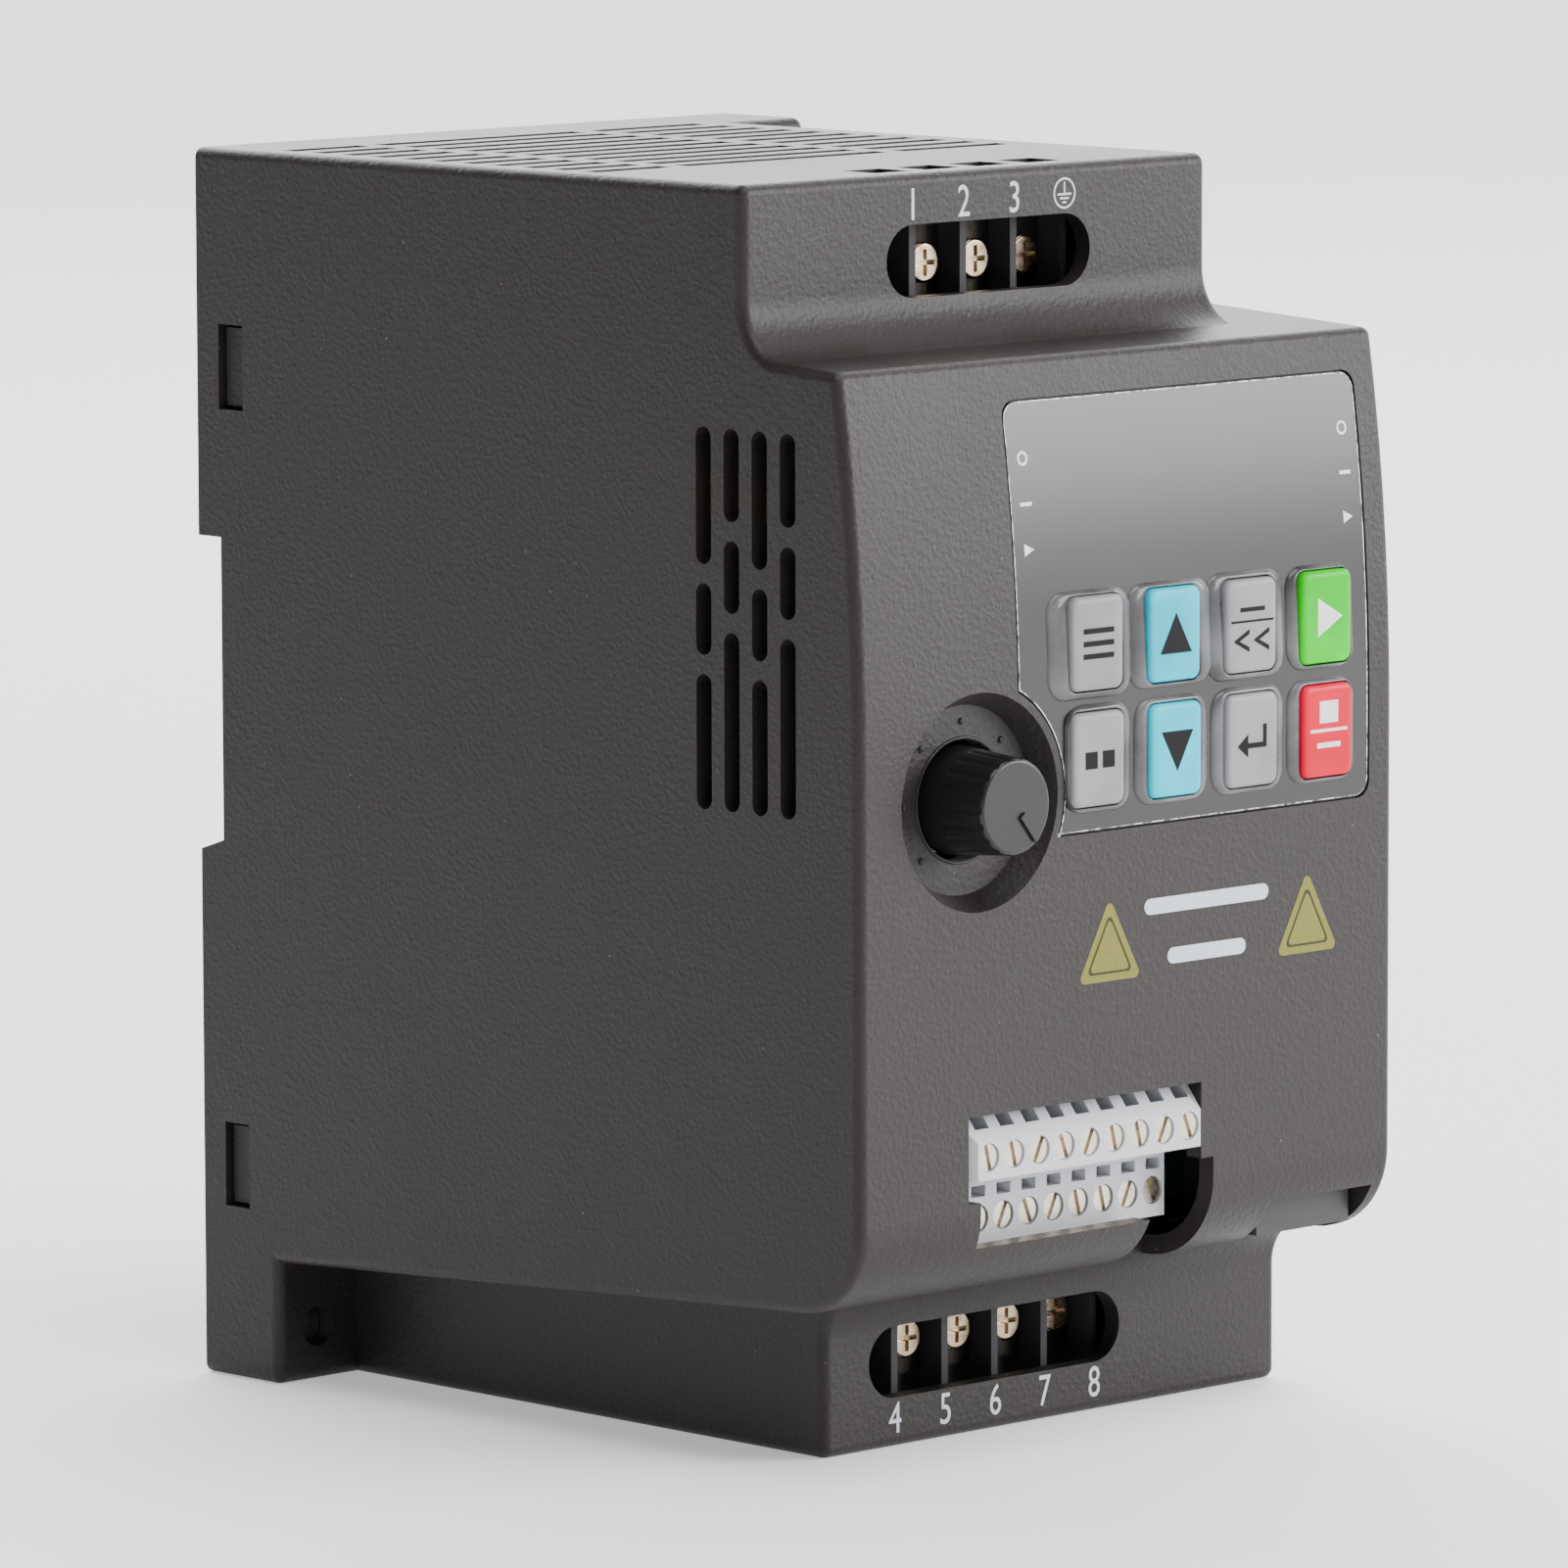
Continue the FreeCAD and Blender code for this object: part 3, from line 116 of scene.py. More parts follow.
class Graph:
    """A material's node graph, with one method for any node."""

    def __init__(self, name: str) -> None:
        """Start an empty node material of that name."""
        self.material = bpy.data.materials.new(name)
        self.material.use_nodes = True
        self.tree = self.material.node_tree
        self.tree.nodes.clear()

    def node(self, kind: str, settings: Optional[dict] = None, inputs: Optional[dict] = None,
             out: Union[int, str] = 0) -> Sock:
        """Add a node.

        Args:
            kind: The node's type name.
            settings: Attributes set first; "stops" gives a colour ramp's stops.
            inputs: Values or Socks by socket name or number.
            out: The output that is returned.

        Returns:
            The chosen output.
        """
        made = self.tree.nodes.new(kind)
        for key, value in (settings or {}).items():
            if key == "stops":
                self._stops(made.color_ramp, value)
            else:
                setattr(made, key, value)
        for key, value in (inputs or {}).items():
            if isinstance(value, Sock):
                self.tree.links.new(value.socket, made.inputs[key])
            else:
                made.inputs[key].default_value = value
        return Sock(self, made.outputs[out])

    @staticmethod
    def _stops(ramp: bpy.types.ColorRamp, stops: Stops) -> None:
        """Set a grey ramp's stops.

        Args:
            ramp: The ramp.
            stops: Each stop's place and level.
        """
        while len(ramp.elements) < len(stops):
            ramp.elements.new(0.5)
        for element, (place, level) in zip(ramp.elements, stops):
            element.position = place
            element.color = (level, level, level, 1.0)

    def place(self, stretch: Tuple[float, float, float] = (1.0, 1.0, 1.0)) -> Sock:
        """The point on the piece, in metres, stretched by a factor along each axis."""
        point = self.node("ShaderNodeTexCoord", out="Object")
        return self.node("ShaderNodeMapping", None, {"Vector": point, "Scale": stretch})

    def noise(self, grain: float, detail: float = 2.0, rough: float = 0.5,
              stretch: Tuple[float, float, float] = (1.0, 1.0, 1.0)) -> Sock:
        """Noise between 0 and 1 whose lumps are about one grain across, in metres."""
        inputs = {"Vector": self.place(stretch), "Scale": 1.0 / grain, "Detail": detail, "Roughness": rough}
        return self.node("ShaderNodeTexNoise", None, inputs)

    def cells(self, size: float, feature: str = "F1") -> Sock:
        """Distance to the nearest cell point, for cells of that size in metres."""
        inputs = {"Vector": self.place(), "Scale": 1.0 / size}
        return self.node("ShaderNodeTexVoronoi", {"feature": feature}, inputs)

    def ramp(self, value: Sock, *stops: Tuple[float, float]) -> Sock:
        """Remap a value through grey stops."""
        return self.node("ShaderNodeValToRGB", {"stops": stops}, {"Fac": value})

    def mix(self, share: Union[Sock, float], first: Union[Sock, Colour],
            second: Union[Sock, Colour]) -> Sock:
        """Mix two colours by a share."""
        inputs = {0: share, 6: self._rgba(first), 7: self._rgba(second)}
        return self.node("ShaderNodeMix", {"data_type": "RGBA"}, inputs, out=2)

    @staticmethod
    def _rgba(colour: Union[Sock, Colour]) -> Union[Sock, Tuple[float, ...]]:
        """A colour with its alpha, or the Sock as it is."""
        return colour if isinstance(colour, Sock) else (*colour, 1.0)

    def bump(self, height: Sock, depth: float, under: Optional[Sock] = None) -> Sock:
        """Turn a height into a bumped normal.

        Args:
            height: The height, from 0 to 1.
            depth: What a height of 1 stands for, in metres.
            under: Another bump that this one lies on.

        Returns:
            The normal.
        """
        inputs = {"Height": height, "Distance": depth, "Strength": 1.0}
        if under is not None:
            inputs["Normal"] = under
        return self.node("ShaderNodeBump", None, inputs)

    def mottled(self, cloud: Sock, colour: Colour, amount: float) -> Sock:
        """A colour that a cloud makes lighter and darker by a share."""
        share = self.ramp(cloud, (0.3, 0.0), (0.7, 1.0))
        return self.mix(share, scaled(colour, 1 - amount), scaled(colour, 1 + amount))

    def finish(self, inputs: dict) -> bpy.types.Material:
        """Close the graph with a Principled shader.

        Args:
            inputs: Values or Socks by socket name.

        Returns:
            The material.
        """
        shader = self.node("ShaderNodeBsdfPrincipled", None, inputs)
        self._output(shader)
        return self.material

    def _output(self, shader: Sock) -> None:
        """Join a shader to the material's output."""
        made = self.tree.nodes.new("ShaderNodeOutputMaterial")
        self.tree.links.new(shader.socket, made.inputs["Surface"])


def scaled(colour: Colour, factor: float) -> Colour:
    """A colour made lighter or darker by a factor."""
    return tuple(min(1.0, channel * factor) for channel in colour)


# Finishes


@dataclass(frozen=True)
class Specks:
    """Dust or lint that lies in patches."""

    size: float
    patch: float
    edge: Span
    cover: Span
    colour: Colour

    def over(self, g: Graph, base: Sock, level: float) -> Sock:
        """Lay the specks over a colour.

        Args:
            g: The material's graph.
            base: The colour below.
            level: How much a speck hides, from 0 to 1.

        Returns:
            The colour with its specks.
        """
        if not level:
            return base
        speck = g.cells(self.size)
        patch = g.noise(self.patch, 1.0)
        spot = 1 - g.ramp(speck, (self.edge[0], 0.0), (self.edge[1], 1.0))
        return g.mix(spot * g.ramp(patch, (self.cover[0], 0.0), (self.cover[1], level)), base, self.colour)


DUST = Specks(3.4 * MM, 9 * MM, (0.015, 0.05), (0.5, 0.62), (0.42, 0.4, 0.38))
LINT = Specks(2.6 * MM, 6 * MM, (0.02, 0.05), (0.55, 0.65), (0.5, 0.5, 0.5))


@dataclass(frozen=True)
class Moulding:
    """Moulded plastic with a spark-eroded grain, painted shade in the grain's pits, faint mottling and a
    little dust.
    """

    name: str
    colour: Colour
    roughness: float = 0.5
    grain: float = 0.42 * MM
    relief: float = 0.06 * MM
    mottle: float = 0.08
    dust: float = 0.0
    coat: float = 0.0
    shine: float = 0.27
    cloud: float = 18 * MM
    pit_size: float = 1.7
    pit_depth: float = 0.7
    hollow: Stops = ((0.35, 0.22), (0.65, 0.0))
    hollow_shade: float = 0.55
    fine_roughness: float = 0.18
    cloud_roughness: float = 0.1
    coat_roughness: float = 0.2

    def build(self) -> bpy.types.Material:
        """Make the material.

        Returns:
            The material.
        """
        g = Graph(self.name)
        cloud = g.noise(self.cloud, 3.0)
        fine = g.noise(self.grain, 3.0, 0.6)
        pits = g.cells(self.grain * self.pit_size)
        base = g.mottled(cloud, self.colour, self.mottle)
        # Painted shade: the colour is darkened where the fine grain is low, as if shade lay in its pits.
        base = g.mix(g.ramp(fine, *self.hollow), base, scaled(self.colour, self.hollow_shade))
        base = DUST.over(g, base, self.dust)
        rough = self.roughness + (fine - 0.5) * self.fine_roughness + (cloud - 0.5) * self.cloud_roughness
        under = g.bump(pits, self.relief * self.pit_depth)
        return g.finish({"Base Color": base, "Roughness": rough, "Coat Weight": self.coat,
                         "Coat Roughness": self.coat_roughness, "Specular IOR Level": self.shine,
                         "Normal": g.bump(fine, self.relief, under)})


@dataclass(frozen=True)
class Film:
    """Glossy printed film with smears, fine lint and a faint orange peel."""

    name: str
    colour: Colour
    roughness: float = 0.16
    smear: float = 0.12
    peel: float = 0.012 * MM
    lint: float = 0.0
    shade: float = 0.12
    coat: float = 0.35
    shine: float = 0.5
    wave: float = 7 * MM
    wipe: float = 16 * MM
    wipe_stretch: Tuple[float, float, float] = (1.0, 1.0, 2.4)
    wiped: Span = (0.45, 0.75)
    coat_roughness: float = 0.06

    def build(self) -> bpy.types.Material:
        """Make the material.

        Returns:
            The material.
        """
        g = Graph(self.name)
        wave = g.noise(self.wave, 2.0)
        smear = g.noise(self.wipe, 4.0, 0.6, self.wipe_stretch)
        base = LINT.over(g, g.mottled(wave, self.colour, self.shade), self.lint)
        rough = self.roughness + g.ramp(smear, (self.wiped[0], 0.0), (self.wiped[1], self.smear))
        return g.finish({"Base Color": base, "Roughness": rough, "Coat Weight": self.coat,
                         "Coat Roughness": self.coat_roughness, "Specular IOR Level": self.shine,
                         "Normal": g.bump(wave, self.peel)})


@dataclass(frozen=True)
class Metal:
    """Plated or turned metal with brushed scratches and tarnish."""

    name: str
    colour: Colour
    roughness: float = 0.25
    tarnish: Colour = (0.25, 0.2, 0.14)
    tarnished: float = 0.35
    streak: Tuple[float, float, float] = (1.0, 1.0, 6.0)
    scratch: float = 0.22 * MM
    scratch_depth: float = 0.012 * MM
    scratch_roughness: float = 0.2
    spot: float = 1.3 * MM
    spotted: Span = (0.5, 0.75)
    dull: Stops = ((0.45, 0.0), (0.8, 0.2))

    def build(self) -> bpy.types.Material:
        """Make the material.

        Returns:
            The material.
        """
        g = Graph(self.name)
        scratch = g.noise(self.scratch, 3.0, 0.6, self.streak)
        spots = g.noise(self.spot, 3.0)
        share = g.ramp(spots, (self.spotted[0], 0.0), (self.spotted[1], self.tarnished))
        base = g.mix(share, self.colour, self.tarnish)
        rough = self.roughness + (scratch - 0.5) * self.scratch_roughness + g.ramp(spots, *self.dull)
        return g.finish({"Base Color": base, "Metallic": 1.0, "Roughness": rough,
                         "Normal": g.bump(scratch, self.scratch_depth)})


@dataclass(frozen=True)
class Ink:
    """Screen-printed ink over a fine grain, with painted shade in the grain's low spots."""

    name: str
    colour: Colour
    roughness: float = 0.45
    shine: float = 0.1
    grain: float = 0.4 * MM
    relief: float = 0.012 * MM
    worn: Stops = ((0.42, 0.28), (0.62, 0.0))
    worn_shade: float = 0.55
    grain_roughness: float = 0.2

    def build(self) -> bpy.types.Material:
        """Make the material.

        Returns:
            The material.
        """
        g = Graph(self.name)
        ink_grain = g.noise(self.grain, 3.0, 0.6)
        # Painted shade: the ink is darkened where its grain is low.
        base = g.mix(g.ramp(ink_grain, *self.worn), self.colour, scaled(self.colour, self.worn_shade))
        rough = self.roughness + (ink_grain - 0.5) * self.grain_roughness
        return g.finish({"Base Color": base, "Roughness": rough, "Specular IOR Level": self.shine,
                         "Normal": g.bump(ink_grain, self.relief)})


@dataclass(frozen=True)
class Laminate:
    """Circuit board: solder mask over tracks, with pads."""

    name: str
    mask: Colour = (0.004, 0.024, 0.01)
    solder: Colour = (0.7, 0.68, 0.62)
    track_cell: float = 4.2 * MM
    track_edge: Stops = ((0.04, 1.0), (0.07, 0.0))
    track_shade: float = 1.9
    track_height: float = 0.03 * MM
    pad_cell: float = 3.1 * MM
    pad_edge: Stops = ((0.12, 0.0), (0.15, 1.0))
    roughness: float = 0.3
    pad_roughness: float = 0.12
    pad_metal: float = 0.9

    def build(self) -> bpy.types.Material:
        """Make the material.

        Returns:
            The material.
        """
        g = Graph(self.name)
        tracks = g.ramp(g.cells(self.track_cell, "DISTANCE_TO_EDGE"), *self.track_edge)
        pads = 1 - g.ramp(g.cells(self.pad_cell), *self.pad_edge)
        base = g.mix(tracks, self.mask, scaled(self.mask, self.track_shade))
        return g.finish({"Base Color": g.mix(pads, base, self.solder), "Metallic": pads * self.pad_metal,
                         "Roughness": self.roughness + pads * self.pad_roughness,
                         "Normal": g.bump(tracks, self.track_height)})


@dataclass(frozen=True)
class Winding:
    """Enamelled wire wound close, with painted shade in the grooves between turns."""

    name: str
    colour: Colour = (0.5, 0.2, 0.06)
    wire: float = 4 * MM
    stray: float = 0.6
    groove_shade: float = 0.5
    groove_depth: float = 0.2 * MM
    metal: float = 0.7
    roughness: float = 0.3

    def build(self) -> bpy.types.Material:
        """Make the material.

        Returns:
            The material.
        """
        g = Graph(self.name)
        wave = g.node("ShaderNodeTexWave", {"wave_type": "RINGS", "rings_direction": "SPHERICAL"},
                      {"Vector": g.place(), "Scale": 1.0 / self.wire, "Distortion": self.stray})
        # Painted shade: the colour is darkened in the grooves between the turns.
        base = g.mix(wave, scaled(self.colour, self.groove_shade), self.colour)
        return g.finish({"Base Color": base, "Metallic": self.metal, "Roughness": self.roughness,
                         "Normal": g.bump(wave, self.groove_depth)})


@dataclass(frozen=True)
class CutEdge:
    """Whitish, ragged cut edge of a film, broken where the cut was clean."""

    name: str
    clean: Colour = (0.12, 0.12, 0.12)
    torn: Colour = (0.72, 0.7, 0.68)
    tear: float = 1.1 * MM
    tear_edge: Stops = ((0.36, 0.0), (0.56, 1.0))
    tear_height: float = 0.05 * MM
    clean_alpha: float = 0.25
    roughness: float = 0.55

    def build(self) -> bpy.types.Material:
        """Make the material.

        Returns:
            The material.
        """
        g = Graph(self.name)
        ragged = g.noise(self.tear, 4.0, 0.7)
        shown = g.ramp(ragged, *self.tear_edge)
        return g.finish({"Base Color": g.mix(shown, self.clean, self.torn), "Roughness": self.roughness,
                         "Alpha": self.clean_alpha + shown * (1 - self.clean_alpha),
                         "Normal": g.bump(ragged, self.tear_height)})


# The film over the keys: roughness, smear and peel; then shade, coat and shine.
KEY_FILM = (0.2, 0.12, 0.02 * MM)
KEY_GLOSS = (0.12, 0.03, 0.1)


class Finishes(Enum):
    """Every finish on the drive."""

    HOUSING = Moulding("housing_moulding", (0.0215, 0.0182, 0.0172), 0.46, dust=0.3, mottle=0.05)
    BASE = Moulding("base_moulding", (0.02, 0.018, 0.0175), 0.5)
    LATCH = Moulding("latch_moulding", (0.016, 0.016, 0.017), 0.42, relief=0.015 * MM)
    FAN = Moulding("fan_moulding", (0.02, 0.02, 0.021), 0.4, relief=0.02 * MM)
    KNOB = Moulding("knob_moulding", (0.012, 0.012, 0.013), 0.34, 0.3 * MM, 0.01 * MM, coat=0.15)
    TERMINAL_BLACK = Moulding("terminal_black", (0.014, 0.014, 0.016), 0.38, 0.4 * MM, 0.012 * MM)
    TERMINAL_GREY = Moulding("terminal_grey", (0.38, 0.385, 0.41), 0.42, 0.35 * MM, 0.01 * MM, mottle=0.04)
    JACK = Moulding("jack_moulding", (0.05, 0.048, 0.047), 0.4, relief=0.01 * MM)
    RESIN = Moulding("component_resin", (0.02, 0.02, 0.021), 0.5)
    RELAY = Moulding("relay_case", (0.02, 0.06, 0.25), 0.35, relief=0.008 * MM)
    FERRITE = Moulding("sintered_ferrite", (0.05, 0.048, 0.05), 0.6)
    NYLON = Moulding("white_nylon", (0.7, 0.68, 0.62), 0.4, relief=0.01 * MM)
    SLEEVE = Film("capacitor_sleeve", (0.015, 0.02, 0.05), 0.25)
    LED = Film("lamp_lens", (0.5, 0.05, 0.04), 0.1)
    DISPLAY = Film("display_lens", (0.01, 0.008, 0.008), 0.08)
    OVERLAY = Film("overlay_film", (0.0022, 0.0022, 0.0025), 0.15, lint=0.25, coat=0.03, shine=0.16)
    SKIRT = Film("skirt_film", (0.085, 0.085, 0.09), 0.2, 0.15, 0.04 * MM, shade=0.6, shine=0.2)
    KEY_GREY = Film("key_film_grey", (0.27, 0.265, 0.28), *KEY_FILM, 0.1, *KEY_GLOSS)
    KEY_BLUE = Film("key_film_blue", (0.0, 0.5, 0.66), *KEY_FILM, 0.05, *KEY_GLOSS)
    KEY_GREEN = Film("key_film_green", (0.0, 0.58, 0.0), *KEY_FILM, 0.05, *KEY_GLOSS)
    KEY_RED = Film("key_film_red", (0.68, 0.0, 0.03), *KEY_FILM, 0.05, *KEY_GLOSS)
    # Painted shadow: the clamp plates get a near-black metal that stands for the deep shadow behind the
    # power screws.
    DARK_PLATE = Metal("dark_plate", (0.045, 0.04, 0.035), 0.4, (0.02, 0.018, 0.015), 0.6)
    POWER_SCREW = Metal("yellowed_nickel", (0.42, 0.34, 0.24), 0.13, (0.12, 0.07, 0.03), 0.7)
    NICKEL = Metal("warm_nickel", (0.62, 0.56, 0.47), 0.17)
    STEEL = Metal("zinc_steel", (0.62, 0.61, 0.58), 0.3)
    BRASS = Metal("turned_brass", (0.78, 0.58, 0.26), 0.28)
    ALUMINIUM = Metal("extruded_aluminium", (0.78, 0.78, 0.79), 0.34, (0.5, 0.5, 0.5), 0.25, (6.0, 6.0, 0.4))
    COPPER = Winding("copper_winding")
    BOARD = Laminate("green_laminate")
    INK_PALE = Ink("pale_ink", (0.62, 0.67, 0.74))
    INK_WHITE = Ink("white_ink", (0.85, 0.85, 0.85))
    INK_BLACK = Ink("black_ink", (0.006, 0.006, 0.007), 0.45)
    INK_OLIVE = Ink("olive_ink", (0.22, 0.205, 0.05))
    INK_DARK_OLIVE = Ink("dark_olive_ink", (0.05, 0.048, 0.02))
    CUT_EDGE = CutEdge("film_cut_edge")

    def material(self) -> bpy.types.Material:
        """The finish's material, built once."""
        return bpy.data.materials.get(self.value.name) or self.value.build()


# Meshes


Surface = Callable[[float, float, float], Vector]


def rounded_ring(x0: float, x1: float, z0: float, z1: float, radius: float, steps: int = 6) -> List[Point]:
    """Points of a rounded rectangle, anticlockwise from its lower right corner.

    Args:
        x0, x1, z0, z1: The rectangle's sides.
        radius: Corner radius.
        steps: Parts of each corner.

    Returns:
        The points.
    """
    radius = min(radius, (x1 - x0) / ROUND_LIMIT, (z1 - z0) / ROUND_LIMIT)
    corners = ((x1 - radius, z0 + radius, -90), (x1 - radius, z1 - radius, 0),
               (x0 + radius, z1 - radius, 90), (x0 + radius, z0 + radius, 180))
    points = []
    for cx, cz, start in corners:
        for i in range(steps + 1):
            angle = math.radians(start + 90.0 * i / steps)
            points.append((cx + radius * math.cos(angle), cz + radius * math.sin(angle)))
    return points


def circle(cx: float, cz: float, radius: float, parts: int) -> List[Point]:
    """Points of a circle, anticlockwise from its right."""
    turns = [2 * math.pi * i / parts for i in range(parts)]
    return [(cx + radius * math.cos(a), cz + radius * math.sin(a)) for a in turns]


def row_places(node: str, count: int) -> List[float]:
    """Find the middles along X of a row of round parts.

    Args:
        node: The CAD node that holds the row.
        count: How many parts it has.

    Returns:
        Each part's middle.
    """
    low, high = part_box(node)
    radius = (high.z - low.z) / 2
    pitch = (high.x - low.x - 2 * radius) / (count - 1)
    return [low.x + radius + i * pitch for i in range(count)]


def middle_of(node: str) -> Point:
    """A CAD node's middle, across and up."""
    low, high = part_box(node)
    return (low.x + high.x) / 2, (low.z + high.z) / 2


class Sheet:
    """Collects closed solids drawn on a surface: across, up, and how far they stand out of it."""

    def __init__(self, surface: Surface) -> None:
        """Start empty on that surface."""
        self.surface = surface
        self.bm = bmesh.new()

    def _ring(self, points: Sequence[Point], out: float) -> List[bmesh.types.BMVert]:
        """Add one ring of points, all standing out by the same amount."""
        return [self.bm.verts.new(self.surface(x, z, out)) for x, z in points]

    def _band(self, low: Sequence[bmesh.types.BMVert], high: Sequence[bmesh.types.BMVert]) -> None:
        """Join two rings with quads.

        Args:
            low: The first ring.
            high: The second ring, with as many points.
        """
        for i, vert in enumerate(low):
            j = (i + 1) % len(low)
            self.bm.faces.new((vert, low[j], high[j], high[i]))

    def loft(self, rings: Sequence[Tuple[Sequence[Point], float]], closed: bool = False) -> None:
        """Skin a stack of rings.

        Args:
            rings: Each a list of points and how far it stands out.
            closed: True joins the last ring to the first, as in a frame; else both ends are capped.
        """
        made = [self._ring(points, out) for points, out in rings]
        for low, high in zip(made, made[1:]):
            self._band(low, high)
        if closed:
            self._band(made[-1], made[0])
        else:
            self.bm.faces.new(list(reversed(made[0])))
            self.bm.faces.new(made[-1])

    def polygon(self, points: Sequence[Point], low: float, high: float) -> None:
        """A flat plate with any outline."""
        self.loft([(points, low), (points, high)])

    def ring(self, cx: float, cz: float, outer: float, inner: float, low: float, high: float) -> None:
        """A flat ring."""
        big, small = circle(cx, cz, outer, RING_PARTS), circle(cx, cz, inner, RING_PARTS)
        self.loft([(big, low), (big, high), (small, high), (small, low)], closed=True)

    def digits(self, text: str, cx: float, cz: float, tall: float, low: float, high: float) -> None:
        """Draw figures centred on a point.

        Args:
            text: The figures.
            cx, cz: The point, across and up.
            tall: Their height.
            low, high: How far their back and their face stand out.
        """
        curve = bpy.data.curves.new("figures", "FONT")
        curve.body = text
        curve.size = 1.0
        curve.resolution_u = FIGURE_CURVE_PARTS
        curve.extrude = 0.5
        holder = bpy.data.objects.new("figures", curve)
        mesh = bpy.data.meshes.new_from_object(holder)
        xs = [v.co.x for v in mesh.vertices]
        ys = [v.co.y for v in mesh.vertices]
        factor = tall / (max(ys) - min(ys))
        middle = (max(xs) + min(xs)) / 2
        for vert in mesh.vertices:
            x = cx + (vert.co.x - middle) * factor * FIGURE_NARROWING
            z = cz + (vert.co.y - (max(ys) + min(ys)) / 2) * factor
            vert.co = self.surface(x, z, low if vert.co.z < 0 else high)
        self.bm.from_mesh(mesh)
        bpy.data.objects.remove(holder)
        bpy.data.curves.remove(curve)
        bpy.data.meshes.remove(mesh)

    def piece(self, name: str, finish: Finishes, body: str,
              smooth: float = 30.0) -> bpy.types.Object:
        """Turn the solids into a piece.

        Args:
            name: The piece's name.
            finish: Its finish.
            body: The CAD body it moves with.
            smooth: Edges flatter than this, in degrees, are shaded smooth.

        Returns:
            The object.
        """
        bmesh.ops.remove_doubles(self.bm, verts=self.bm.verts, dist=SAME_POINT)
        bmesh.ops.recalc_face_normals(self.bm, faces=self.bm.faces)
        for face in self.bm.faces:
            face.smooth = True
        for edge in self.bm.edges:
            edge.smooth = len(edge.link_faces) == 2 and edge.calc_face_angle(0.0) < math.radians(smooth)
        mesh = bpy.data.meshes.new(name)
        self.bm.to_mesh(mesh)
        self.bm.free()
        mesh.materials.append(finish.material())
        made = bpy.data.objects.new(name, mesh)
        bpy.context.scene.collection.objects.link(made)
        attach(made, body)
        log.info("%s: %d faces", name, len(mesh.polygons))
        return made


def dress(finish: Finishes, *nodes: str) -> None:
    """Give CAD nodes a finish.

    Args:
        finish: The finish.
        nodes: The nodes' names.
    """
    for name in nodes:
        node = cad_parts[name]
        node.data.materials.clear()
        node.data.materials.append(finish.material())
        for polygon in node.data.polygons:
            polygon.material_index = 0
        log.info("%s: %s", name, finish.value.name)


# Housing


